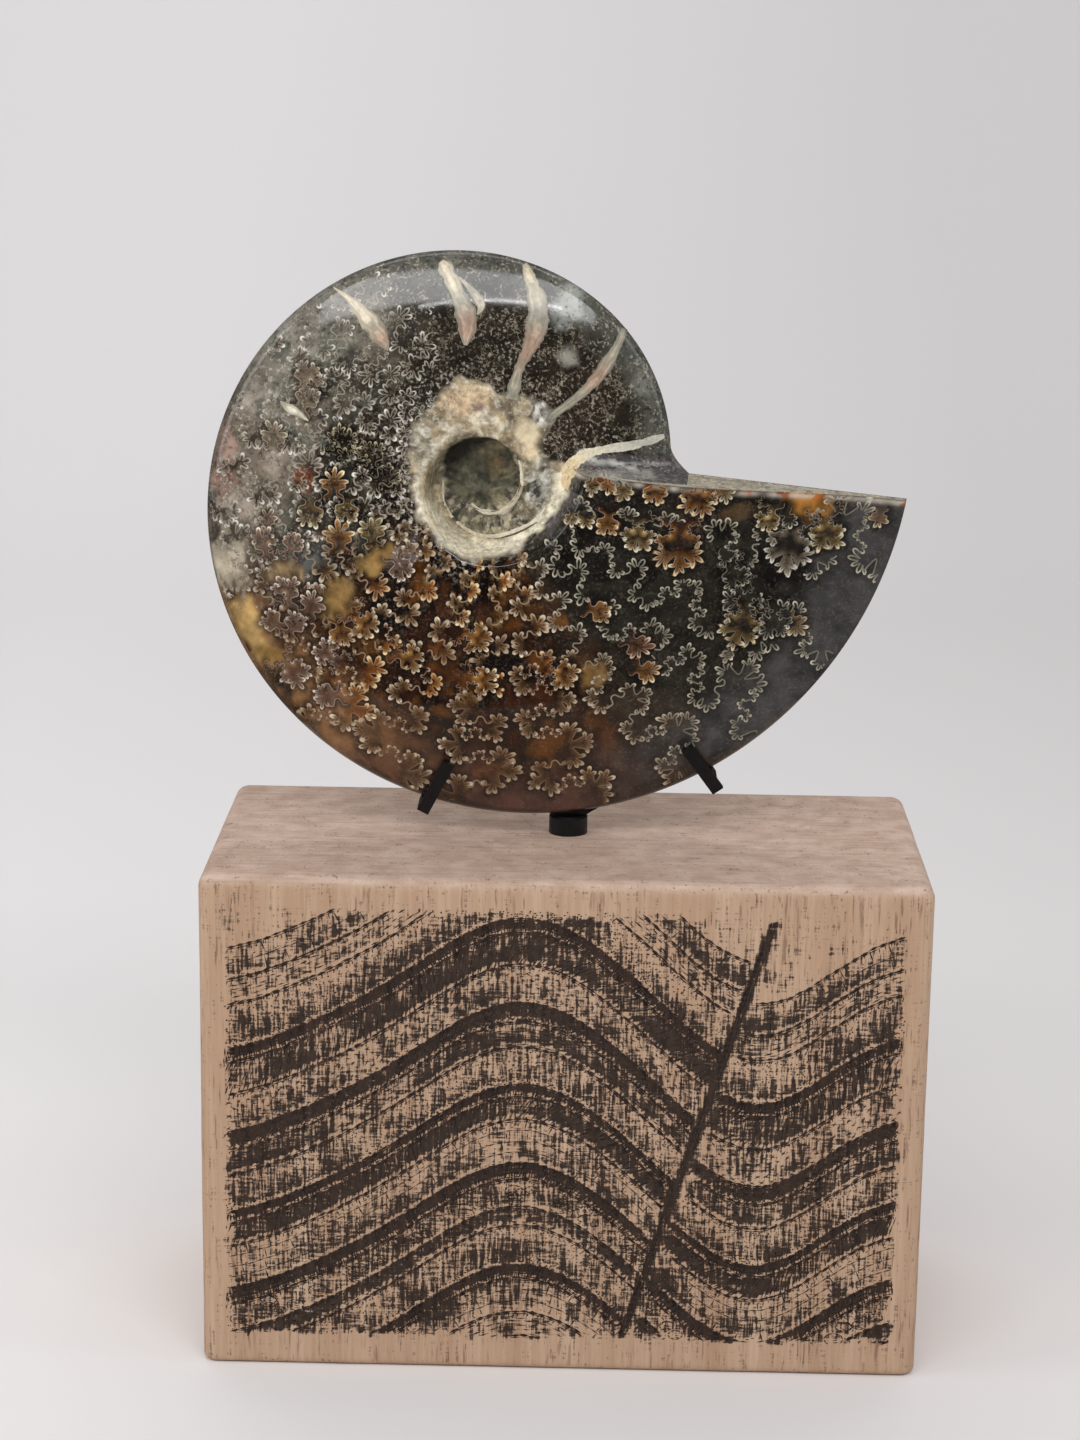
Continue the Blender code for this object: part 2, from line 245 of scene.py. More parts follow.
def ledge_share(x, z, width):
    """1 along the crest of the cream ledge that winds round the lower side of the umbilicus."""
    angle = compass(x, z)
    angle = np.where(angle < 20, angle + 360, angle)
    away = np.hypot(x, z) - read_ring(LEDGE, angle) - 0.35 * fractal(x, z, 3.0, 13, 2)
    return bell(away, width) * rises(angle, 180, 210) * (1 - rises(angle, 368, 376))


def crust_share(x, z):
    """1 on the crust, 0 on the polished flank."""
    return smoothstep(crust_depth(x, z) / 0.7 + 0.5)


def eye_share(x, z):
    """1 on the dark rock in the umbilicus."""
    return 1 - smoothstep((np.hypot(x + 1.1, z - 2.1) + 0.5 * fractal(x, z, 1.6, 14, 3) - 5.4) / 0.5)


def front_height(turn, radius):
    """Front surface with the fillet above the mouth's face and the crust's roughness."""
    height = whorl_height(turn, radius)
    x, z = plane_point(turn, radius)
    over = over_cut_line(x, z)
    near = 1 - np.clip(over / FILLET_HEIGHT, 0.0, 1.0)
    rise = FILLET_START * (1 - np.sqrt(1 - near * near))
    edge = smoothstep((venter_radius(turn) - radius) / (RIM_WIDTH * 0.5))
    gap = np.maximum(whorl_height(np.full_like(turn, TURN), radius) - height, 0.0)
    height = height + np.where((turn >= 0) & (turn < 1), gap * rise * edge, 0.0)
    rough = 0.26 * fractal(x, z, 1.6, 5, 2) + 0.10 * value_noise(x, z, 0.7, 9)
    ledge = ledge_share(x, z, 0.8)
    return height + crust_share(x, z) * (rough * (1 - 0.5 * ledge) + 0.38 * ledge - 0.1)


def surface_height(x, z):
    """Height of the front surface over points of the front plane."""
    turn, radius = turn_of(x, z)
    inside = radius < seam_radius(turn)
    turn = np.where(inside, turn - TURN, turn)
    floor = (turn < 0) & (radius < seam_radius(turn))
    return np.where(floor, FLOOR_HEIGHT, front_height(turn, radius))


def in_world(x, z, height):
    """Object-frame points in metres of points given in fossil millimetres."""
    return np.stack([CENTRE.x + x * UNIT, CENTRE.y - height * UNIT, CENTRE.z + z * UNIT], -1)


# Meshes


def mesh_object(name, points, faces, materials, smooth=True):
    """New object of these points and faces, in the scene."""
    mesh = bpy.data.meshes.new(name)
    mesh.from_pydata(np.asarray(points).tolist(), [], faces)
    for made in materials:
        mesh.materials.append(made)
    if smooth:
        mesh.shade_smooth()
    mesh.update()
    obj = bpy.data.objects.new(name, mesh)
    bpy.context.scene.collection.objects.link(obj)
    return obj


def paint(obj, **layers):
    """Per-vertex colours (three columns) and numbers that the materials read."""
    for name, values in layers.items():
        values = np.asarray(values, np.float32)
        if values.ndim == 2:
            layer = obj.data.color_attributes.new(name, "FLOAT_COLOR", "POINT")
            four = np.concatenate([values, np.ones((len(values), 1), np.float32)], 1)
            layer.data.foreach_set("color", four.ravel())
        else:
            layer = obj.data.attributes.new(name, "FLOAT", "POINT")
            layer.data.foreach_set("value", values)


def belongs(obj, slot, *nodes):
    """Makes the object a piece of the part, in place of these CAD nodes if there are any."""
    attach(obj, "root")
    if nodes:
        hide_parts(*nodes)
    return obj


# Materials


class Shader:
    """A node material with a Principled shader, and short ways to add nodes to it."""

    def __init__(self, name):
        self.material = bpy.data.materials.new(name)
        self.material.use_nodes = True
        self.tree = self.material.node_tree
        self.bsdf = self.tree.nodes["Principled BSDF"]
        self.place = self.add("ShaderNodeTexCoord").outputs["Object"]

    def add(self, kind, links=None, values=None, **settings):
        """A node with settings, values of its inputs, and links to them."""
        node = self.tree.nodes.new(kind)
        for key, value in settings.items():
            setattr(node, key, value)
        for key, value in (values or {}).items():
            node.inputs[key].default_value = value
        for key, source in (links or {}).items():
            self.tree.links.new(source, node.inputs[key])
        return node

    def attribute(self, name, output="Color"):
        """A layer painted on the mesh."""
        return self.add("ShaderNodeAttribute", attribute_name=name).outputs[output]

    def stretched(self, scale):
        """Coordinates scaled on each axis, for streaks."""
        return self.add("ShaderNodeMapping", {"Vector": self.place}, {"Scale": scale}).outputs[0]

    def noise(self, scale, detail=3.0, rough=0.55, place=None):
        """Fractal noise from 0 to 1."""
        values = {"Scale": scale, "Detail": detail, "Roughness": rough}
        return self.add("ShaderNodeTexNoise", {"Vector": place or self.place}, values).outputs["Fac"]

    def range(self, value, lo, hi, to_lo=0.0, to_hi=1.0):
        """The value stretched from one range to another."""
        values = {"From Min": lo, "From Max": hi, "To Min": to_lo, "To Max": to_hi}
        return self.add("ShaderNodeMapRange", {"Value": value}, values).outputs[0]

    def math(self, operation, a, b):
        """A sum, product or the like of numbers and sockets."""
        node = self.add("ShaderNodeMath", operation=operation)
        for socket, value in zip(node.inputs, (a, b)):
            if isinstance(value, (int, float)):
                socket.default_value = value
            else:
                self.tree.links.new(value, socket)
        return node.outputs[0]

    def mix(self, share, a, b, blend="MIX"):
        """Two colours mixed by a share."""
        node = self.add("ShaderNodeMix", data_type="RGBA", blend_type=blend)
        for socket, value in ((node.inputs[0], share), (node.inputs[6], a), (node.inputs[7], b)):
            if isinstance(value, (int, float)):
                socket.default_value = value
            elif isinstance(value, (tuple, list, np.ndarray)):
                socket.default_value = (*value, 1.0)
            else:
                self.tree.links.new(value, socket)
        return node.outputs[2]

    def shaded(self, colour, value):
        """A colour multiplied by a grey value."""
        grey = self.add("ShaderNodeCombineColor", {0: value, 1: value, 2: value}).outputs[0]
        return self.mix(1.0, colour, grey, "MULTIPLY")

    def set(self, **sockets):
        """Fill in the inputs of the Principled shader and return the material."""
        for key, value in sockets.items():
            socket = self.bsdf.inputs[key.replace("_", " ").title().replace("Ior", "IOR")]
            if isinstance(value, (int, float)):
                socket.default_value = value
            else:
                self.tree.links.new(value, socket)
        return self.material

    def bump(self, height, strength, distance):
        """A normal bent by a height."""
        values = {"Strength": strength, "Distance": distance}
        return self.add("ShaderNodeBump", {"Height": height}, values).outputs[0]


def polished_stone():
    """Rock and calcite in the colours painted on the mesh, glossy but for the crust."""
    s = Shader("polished_stone")
    tint = s.attribute("tint")
    speckle, grain, salt = (s.attribute(name, "Fac") for name in ("speckle", "grain", "salt"))
    colour = s.shaded(tint, s.range(s.noise(260, 5.0, 0.6), 0.3, 0.7, 0.80, 1.20))
    # squiggles along the contours of a fine noise, in clusters
    contour = s.math("ABSOLUTE", s.math("SUBTRACT", s.noise(640, 3.0, 0.55), 0.5), 0.0)
    line = s.range(contour, 0.030, 0.008)
    cluster = s.range(s.noise(260, 3.0, 0.6), 0.46, 0.60)
    amount = s.math("MULTIPLY", s.math("MULTIPLY", line, cluster), speckle)
    colour = s.mix(amount, colour, rgb(150, 138, 118))
    dots = s.range(s.noise(2100, 2.0, 0.6), 0.54, 0.64)
    gathered = s.range(s.noise(430, 3.0, 0.6), 0.40, 0.56)
    amount = s.math("MULTIPLY", s.math("MULTIPLY", dots, gathered), speckle)
    colour = s.mix(amount, colour, rgb(186, 178, 158))
    dark = s.math("MULTIPLY", s.range(s.noise(1500, 3.0, 0.6), 0.46, 0.34), speckle)
    colour = s.mix(dark, colour, rgb(24, 20, 15))
    # grains of the crust, and white ones scattered round it
    rough_tone = s.shaded(colour, s.range(s.noise(900, 5.0, 0.75), 0.36, 0.64, 0.48, 1.34))
    colour = s.mix(grain, colour, rough_tone)
    white = s.range(s.noise(1250, 4.0, 0.7), 0.56, 0.62)
    colour = s.mix(s.math("MULTIPLY", white, salt), colour, rgb(236, 228, 212))
    rough = s.attribute("rough", "Fac")
    wear = s.range(s.noise(900, 4.0, 0.6), 0.3, 0.7, -0.02, 0.03)
    bump = s.bump(s.noise(1300, 5.0, 0.7), 0.9, 0.00025)
    flat = s.add("ShaderNodeNewGeometry").outputs["Normal"]
    normal = s.add("ShaderNodeMix", {0: grain, 4: flat, 5: bump}, data_type="VECTOR").outputs[1]
    return s.set(base_color=colour, roughness=s.math("ADD", rough, wear), normal=normal, ior=1.5)


def inlay(name, rough):
    """Calcite of the sutures and rib remnants, polished flush with the stone."""
    s = Shader(name)
    cloud = s.range(s.noise(1500, 4.0, 0.65), 0.32, 0.68, 0.74, 1.14)
    colour = s.shaded(s.attribute("tint"), cloud)
    return s.set(base_color=colour, roughness=rough, ior=1.5)


def rib_shell():
    """Worn shell of the ribs: streaked and mottled, fading at the edges."""
    s = Shader("rib_shell")
    edge = s.attribute("edge", "Fac")
    colour = s.shaded(s.attribute("tint"), s.range(s.noise(700, 4.0, 0.65), 0.34, 0.66, 0.74, 1.22))
    # streaks that run along the rib and waver
    waver = s.math("MULTIPLY", s.noise(150, 3.0, 0.6), 26.0)
    lane = s.math("ADD", s.math("MULTIPLY", edge, 11.0), waver)
    colour = s.shaded(colour, s.range(s.math("SINE", lane, 0.0), -1.0, 1.0, 0.78, 1.10))
    colour = s.mix(s.range(s.noise(300, 3.0, 0.6), 0.52, 0.66, 0.0, 0.5), colour, rgb(140, 140, 122))
    flakes = s.range(s.noise(700, 3.0, 0.6), 0.36, 0.62, 0.35, 1.0)
    worn = s.math("MULTIPLY", s.range(edge, 0.45, 1.0), flakes)
    colour = s.mix(worn, colour, rgb(112, 108, 94))
    return s.set(base_color=colour, roughness=0.2, normal=s.bump(s.noise(900, 4.0, 0.6), 0.3, 0.0001))


def cut_stone():
    """The sawn face at the mouth."""
    s = Shader("cut_stone")
    tone = s.range(s.noise(420, 5.0, 0.65), 0.35, 0.65)
    colour = s.mix(tone, rgb(120, 116, 100), rgb(196, 182, 158))
    grains = s.range(s.noise(1900, 2.0), 0.52, 0.66)
    colour = s.mix(grains, colour, rgb(226, 214, 192))
    bump = s.bump(s.noise(1500, 4.0, 0.6), 0.4, 0.0001)
    return s.set(base_color=colour, roughness=0.5, normal=bump)


def black_paint():
    """Matt paint of the bracket."""
    s = Shader("black_paint")
    tone = s.range(s.noise(700, 4.0, 0.6), 0.35, 0.7)
    colour = s.mix(tone, rgb(7, 8, 12), rgb(18, 19, 25))
    rough = s.range(s.noise(1500, 3.0), 0.35, 0.65, 0.36, 0.52)
    bump = s.bump(s.noise(2600, 2.0), 0.25, 0.00008)
    return s.set(base_color=colour, roughness=rough, normal=bump, specular_ior_level=0.35)


def sanded_wood():
    """Bare wood: upright pores on the sides, long fine lines on the sanded top, and the burned front; the top
    is painted paler and pinker, partly its own sanded tone and partly a painted reflection.
    """
    s = Shader("sanded_wood")
    bands = s.noise(1.0, 4.0, 0.55, s.stretched((190, 150, 9)))
    colour = s.mix(s.range(bands, 0.32, 0.68), rgb(190, 154, 125), rgb(210, 179, 151))
    fine = s.noise(1.0, 3.0, 0.6, s.stretched((1500, 1100, 60)))
    colour = s.mix(s.range(fine, 0.35, 0.7, 0.0, 0.45), colour, rgb(168, 130, 100))
    pores = s.noise(1.0, 2.0, 0.5, s.stretched((2300, 2000, 190)))
    gate = s.noise(1.0, 1.0, 0.5, s.stretched((420, 420, 160)))
    amount = s.math("MULTIPLY", s.range(pores, 0.58, 0.66), s.range(gate, 0.40, 0.6))
    colour = s.mix(s.math("MULTIPLY", amount, 0.6), colour, rgb(116, 84, 62))
    # the top's colour: its own sanded tone and lines, painted paler and pinker as a painted reflection of the
    # light from above; the sawn layer lays it on the top and its edge
    pale = s.mix(s.range(s.noise(240, 4.0, 0.6), 0.35, 0.65), rgb(198, 168, 148), rgb(220, 193, 174))
    lines = s.noise(1.0, 3.0, 0.6, s.stretched((90, 1500, 1500)))
    pale = s.mix(s.range(lines, 0.50, 0.68, 0.0, 0.36), pale, rgb(150, 119, 100))
    colour = s.mix(s.attribute("sawn", "Fac"), colour, pale)
    # the burning between the engraved strokes is made of fine upright and level marks
    upright = s.noise(1.0, 2.0, 0.6, s.stretched((2600, 2600, 260)))
    level = s.noise(1.0, 2.0, 0.6, s.stretched((420, 420, 3000)))
    strokes = s.math("ADD", s.math("MULTIPLY", upright, 0.6), s.math("MULTIPLY", level, 0.4))
    burn = s.math("SUBTRACT", s.attribute("burn", "Fac"), s.range(strokes, 0.36, 0.64))
    burned = s.mix(s.range(s.noise(700, 3.0, 0.6), 0.35, 0.65), rgb(30, 18, 13), rgb(60, 42, 31))
    colour = s.mix(s.range(burn, -0.18, 0.16, 0.0, 0.96), colour, burned)
    bump = s.bump(s.math("SUBTRACT", fine, amount), 0.35, 0.0002)
    return s.set(base_color=colour, roughness=0.72, normal=bump)


def burned_wood():
    """Charred floor of the engraved strokes."""
    s = Shader("burned_wood")
    tone = s.noise(1.0, 4.0, 0.6, s.stretched((1300, 900, 160)))
    colour = s.mix(s.range(tone, 0.35, 0.68), rgb(30, 18, 13), rgb(72, 50, 38))
    return s.set(base_color=colour, roughness=0.85)


# Colours of the stone


def patch(x, z, at, size, lean=0.0, seed=1, ragged=0.35):
    """1 in the middle of a ragged oval patch, falling softly to 0 at its edge."""
    dx, dz = x - at[0], z - at[1]
    c, s = math.cos(math.radians(lean)), math.sin(math.radians(lean))
    across, along = (dx * c + dz * s) / size[0], (dz * c - dx * s) / size[1]
    reach = np.hypot(across, along) + ragged * fractal(x, z, 4.0, seed, 3)
    return smoothstep((1.15 - reach) / 0.6)


def tinted(colours, target, amount):
    """Colours mixed with a target by an amount for each point."""
    return colours + (np.asarray(target) - colours) * np.clip(amount, 0, 1)[:, None]


class Coat:
    """Colours of points of the fossil, built up in layers."""

    def __init__(self, x, z, *base):
        self.x, self.z = x, z
        self.colours = np.tile(rgb(*base), (len(x), 1))

    def lay(self, colour, amount):
        """One more layer: a screen colour, another coat, or a linear colour for each point."""
        if isinstance(colour, Coat):
            colour = colour.colours
        elif isinstance(colour, tuple):
            colour = rgb(*colour)
        self.colours = tinted(self.colours, colour, amount)
        return self

    def cloud(self, colour, size, seed, octaves, start, end, strength=1.0):
        """A layer where noise rises from start to end."""
        noise = fractal(self.x, self.z, size, seed, octaves)
        return self.lay(colour, rises(noise, start, end) * strength)


CLEAR_PATCHES = 5  # the first ones are clear calcite, which no suture crosses
PATCHES = [
    # mineral patches of the chambers: middle, size, lean in degrees, colour and strength
    ((-16.4, -10.9), (3.9, 1.9), 35, (158, 124, 70), 0.95),
    ((-21.7, -16.6), (3.2, 3.9), -10, (168, 132, 76), 0.97),
    ((-36.0, -22.5), (2.6, 6.0), 28, (184, 150, 94), 0.95),
    ((-32.3, -27.3), (2.6, 1.8), -20, (160, 122, 66), 0.85),
    ((-30.6, -13.6), (3.4, 2.0), 20, (176, 146, 104), 0.85),
    ((-16.5, -24.5), (3.2, 1.7), 0, (94, 60, 24), 0.8),
    ((-6.3, -26.5), (3.0, 5.5), 0, (96, 54, 20), 0.85),
    ((-6.0, -17.0), (1.4, 4.2), 0, (80, 44, 18), 0.7),
    ((6.3, -31.5), (4.0, 2.6), 0, (72, 38, 20), 0.8),
    ((17.0, -27.8), (2.9, 2.5), 0, (136, 104, 60), 0.95),
    ((11.6, -19.3), (1.7, 1.4), 0, (118, 74, 28), 0.85),
    ((48.8, -2.2), (3.9, 2.7), 0, (184, 124, 52), 1.0),
    ((38.0, -2.6), (3.6, 1.8), 0, (88, 68, 44), 0.85),
    ((42.9, -11.5), (1.9, 4.4), 5, (15, 12, 11), 0.95),
    ((22.0, 0.2), (7.5, 1.6), 0, (23, 19, 17), 0.85),
    ((31.0, -4.6), (3.0, 3.0), 0, (60, 33, 24), 0.7),
    ((-16.5, -18.3), (1.6, 1.3), 0, (20, 11, 9), 0.9),
    ((-27.2, 0.4), (2.0, 2.8), 0, (116, 60, 34), 0.85),
    ((-26.0, -9.5), (3.2, 3.6), 0, (94, 95, 90), 0.9),
    ((-18.8, -7.8), (1.9, 2.6), 0, (98, 98, 86), 0.85),
    ((-18.2, -0.5), (2.4, 2.0), 0, (78, 76, 64), 0.7),
    ((-19.5, 16.5), (5.0, 4.0), 0, (40, 36, 29), 0.75),
    ((-20.9, 6.2), (1.6, 2.4), -20, (12, 8, 6), 0.9),
    ((-15.6, 2.2), (3.4, 1.1), 5, (14, 10, 8), 0.85),
    ((-13.4, -1.6), (1.6, 1.3), 0, (20, 12, 9), 0.8),
    ((-39.9, 2.0), (2.2, 5.2), 0, (146, 106, 94), 0.6),
    ((-38.3, -12.4), (3.2, 6.4), 8, (184, 172, 150), 0.85),
    ((-39.3, -9.6), (0.9, 0.6), 0, (70, 64, 54), 0.8),
    ((-11.8, -9.6), (2.6, 1.7), 40, (168, 146, 138), 0.7),
    ((58.2, -1.4), (0.6, 0.9), 0, (236, 228, 214), 1.0),
    ((11.6, 27.0), (2.2, 3.8), -32, (168, 170, 164), 0.75),
    ((12.3, 19.7), (1.7, 1.8), 0, (150, 146, 134), 0.85),
    ((23.3, 15.3), (1.5, 1.6), 0, (120, 120, 112), 0.6),
]


def mineral_patch(x, z, at, size, lean):
    """A patch with an edge of its own."""
    return patch(x, z, at, size, lean, int(at[0] + 60), 0.75)


def ground_coat(x, z):
    """Colour of the rock between the sutures."""
    turn, radius = turn_of(x, z)
    angle = np.degrees(turn) + 9 * fractal(x, z, 9.0, 21, 3)
    share = (radius - seam_radius(turn)) / (venter_radius(turn) - seam_radius(turn))
    share = share + 0.08 * fractal(x, z, 6.0, 31, 3)
    blotch = fractal(x, z, 7.0, 41, 3)
    coat = Coat(x, z, 42, 36, 28)
    coat.lay((57, 42, 33), rises(blotch, 0.0, 0.5) * 0.6)
    coat.lay((90, 90, 83), rises(share, 0.74, 0.95) * (1 - rises(angle, 120, 150)))

    # pale left side, cooler towards the top and dark near the umbilicus
    left = rises(angle, 108, 145) * (1 - rises(angle, 196, 222))
    haze = rises(fractal(x, z, 4.0, 44, 4), -0.1, 0.35) * rises(share, 0.5, 0.85)
    cool = 1 - rises(angle, 140, 175)
    coat.lay((128, 116, 101), left * rises(share, 0.42, 0.78))
    coat.lay((182, 168, 152), left * haze * 0.85 * (1 - 0.6 * cool))
    coat.lay((138, 141, 134), left * cool * rises(share, 0.45, 0.8) * mix(0.3, 0.85, haze))
    coat.cloud((86, 88, 78), 3.4, 43, 4, 0.08, 0.35, left * 0.8)
    coat.lay((34, 28, 21), left * (1 - rises(share, 0.26, 0.58)) * 0.88)

    # brown lower half, with a lighter venter
    brown = rises(angle, 196, 226) * (1 - rises(angle, 284, 316))
    coat.lay((50, 23, 6), brown)
    coat.lay((14, 5, 2), brown * rises(blotch, -0.2, 0.22) * 0.94)
    coat.cloud((104, 60, 14), 5.0, 45, 3, 0.14, 0.46, brown * 0.8)
    coat.lay((136, 98, 64), brown * rises(share, 0.60, 0.9) * (1 - rises(angle, 238, 272)))
    coat.lay((86, 58, 48), brown * rises(share, 0.72, 0.94) * rises(angle, 236, 270))

    # charcoal right end
    right = rises(angle, 284, 316)
    coat.lay((39, 36, 29), right)
    coat.cloud((12, 8, 6), 6.0, 47, 3, 0.05, 0.45, right * 0.8)
    coat.lay((68, 66, 65), right * rises(share, 0.74, 0.9))

    for at, size, lean, colour, strength in PATCHES:
        coat.lay(colour, strength * mineral_patch(x, z, at, size, lean))
    coat.colours *= (1 + 0.5 * fractal(x, z, 2.4, 49, 4))[:, None]
    # painted shade: a darker band along the venter's edge on the lower half, where the rim turns down away
    # from the light
    band = rises(share, 0.962, 0.985) * rises(angle, 140, 190) * (1 - rises(angle, 300, 330))
    coat.lay((44, 34, 28), band * 0.75)
    grey_rim = bell(crust_depth(x, z) + 1.0, 0.8) * rises(compass(x, z), 316, 334)
    coat.lay((104, 99, 103), grey_rim * 0.85)
    return lay_mouth(coat)


def lay_mouth(coat):
    """Silver streaks over the mouth's edge, and a pale, partly orange fringe along it, brightened as a
    painted highlight of the edge.
    """
    x, z = coat.x, coat.z
    over = over_cut_line(x, z)
    turn, _ = turn_of(x, z)
    near = rises(x, 13.0, 14.5) * (1 - rises(x, 28.5, 31.5))
    above = near * (turn < 1) * (1 - rises(over, 2.0, 2.9))
    streaks = fractal(x * 0.5 + over, over * 2.4, 1.6, 87, 2)
    coat.lay((88, 83, 86), above * 0.9)
    coat.lay((214, 212, 204), above * rises(streaks, -0.05, 0.5) * 0.8)
    # the fringe along the edge: the stone's own pale and orange colour, brightened as a painted highlight
    # where the edge catches the light
    orange = rises(fractal(x, over, 2.2, 88, 2), -0.05, 0.25)
    fringe = Coat(x, z, 226, 214, 196).lay((206, 112, 56), orange)
    below = bell(over + 0.45, 0.42) * (turn > 5)
    return coat.lay(fringe, below * mix(0.7, 0.95, near))


CREAM_BLOCKS = (
    # smooth blocks of the crust: colour, middle, size, lean in degrees and seed
    ((244, 220, 176), (6.1, 8.4), (2.3, 2.0), -12, 3),
    ((240, 212, 164), (6.9, 5.6), (1.3, 1.8), 0, 4),
)


def crust_coat(x, z):
    """Cream and grey limestone round the umbilicus, with its ledge and the bare rock inside it."""
    angle, radius = compass(x, z), np.hypot(x, z)
    coat = Coat(x, z, 176, 156, 122)
    coat.cloud((106, 94, 74), 1.8, 61, 2, 0.0, 0.35, 0.85)
    coat.cloud((236, 220, 186), 1.5, 71, 2, 0.08, 0.36, 0.9)
    coat.lay((206, 172, 132), patch(x, z, (-2.6, 13.4), (4.4, 2.8), 0, 3) * 0.75)
    coat.lay((140, 112, 102), patch(x, z, (-1.1, 12.1), (1.1, 0.8), 20, 5))
    marbled = patch(x, z, (8.0, -0.4), (2.6, 4.4), -14, 9)
    stone = Coat(x, z, 150, 146, 132)
    stone.cloud((62, 62, 55), 1.0, 18, 3, 0.05, 0.4)
    stone.cloud((226, 220, 204), 1.3, 28, 3, 0.12, 0.4)
    coat.lay(stone, np.maximum(patch(x, z, (9.6, 12.2), (3.0, 2.6), 0, 7), marbled))
    grey = patch(x, z, (-9.9, 7.4), (2.6, 4.4), 0, 17)
    coat.lay((124, 117, 98), grey * 0.7)
    coat.cloud((226, 216, 194), 1.1, 73, 2, 0.12, 0.36, grey)
    # painted shade on the upper left of the umbilicus's wall, which faces down, away from the light
    wall = rises(radius, 6.0, 6.8) * (1 - rises(radius, 8.2, 9.4))
    coat.lay((112, 102, 80), wall * rises(angle, 84, 110) * (1 - rises(angle, 176, 196)) * 0.85)
    rim = bell(radius - 9.9 + 0.3 * np.sin(angle / 17), 0.36)
    coat.lay((232, 220, 190), rim * rises(angle, 100, 125) * (1 - rises(angle, 190, 215)) * 0.95)
    for colour, *place in CREAM_BLOCKS:
        coat.lay(colour, patch(x, z, *place))

    # floor of the gully between the white line and the cream ledge, streaked along it
    low = rises(angle, 190, 225) * (1 - rises(angle, 344, 358))
    streaks = fractal(radius * 2.6, np.radians(angle) * 2.0, 1.3, 81, 3)
    coat.lay((158, 138, 102), low * (1 - marbled) * 0.85)
    coat.lay((116, 98, 70), low * rises(streaks, 0.12, 0.4) * 0.8)
    fringe = low * (1 - rises(crust_depth(x, z), 0.3, 1.3))
    coat.cloud((214, 203, 192), 0.8, 83, 2, -0.3, 0.2, fringe)
    cream = Coat(x, z, 254, 240, 204).lay((214, 186, 140), rises(streaks, 0.15, 0.5) * 0.7)
    coat.lay(cream, 1.5 * ledge_share(x, z, 0.95))

    # bare rock inside the white line
    line = read_ring(WHITE_LINE, angle) - 0.1 - 0.3 * fractal(x, z, 1.2, 16, 3)
    bare = 1 - smoothstep((radius - line) / 0.3 + 0.5)
    rock = Coat(x, z, 122, 113, 91)
    rock.cloud((64, 60, 48), 0.9, 19, 3, 0.0, 0.4)
    rock.cloud((176, 164, 132), 1.1, 29, 3, 0.15, 0.45)
    coat.lay(rock, bare * (1 - marbled))
    coat.colours *= 1.25 - 0.3 * coat.colours
    return coat


def floor_coat(x, z):
    """Dark rock on the floor of the umbilicus, with a painted shadow towards its upper left."""
    coat = Coat(x, z, 104, 101, 82)
    coat.cloud((146, 136, 104), 1.5, 91, 2, 0.0, 0.4)
    coat.cloud((58, 57, 44), 1.2, 95, 2, 0.0, 0.4, 0.85)
    coat.lay((150, 122, 76), patch(x, z, (1.4, 2.6), (1.5, 2.6), 0, 8) * 0.5)
    # painted shadow of the umbilicus's wall, darkening the floor towards its upper left
    return coat.lay((16, 16, 12), rises(z - x * 0.8, 3.8, 8.0) * 0.85)


# Sutures: each is one line from the umbilicus to the venter, folded into heads that point forward and back


def polar(at, radius, angle):
    """The point at this distance and angle from another."""
    return (at[0] + radius * math.cos(angle), at[1] + radius * math.sin(angle))


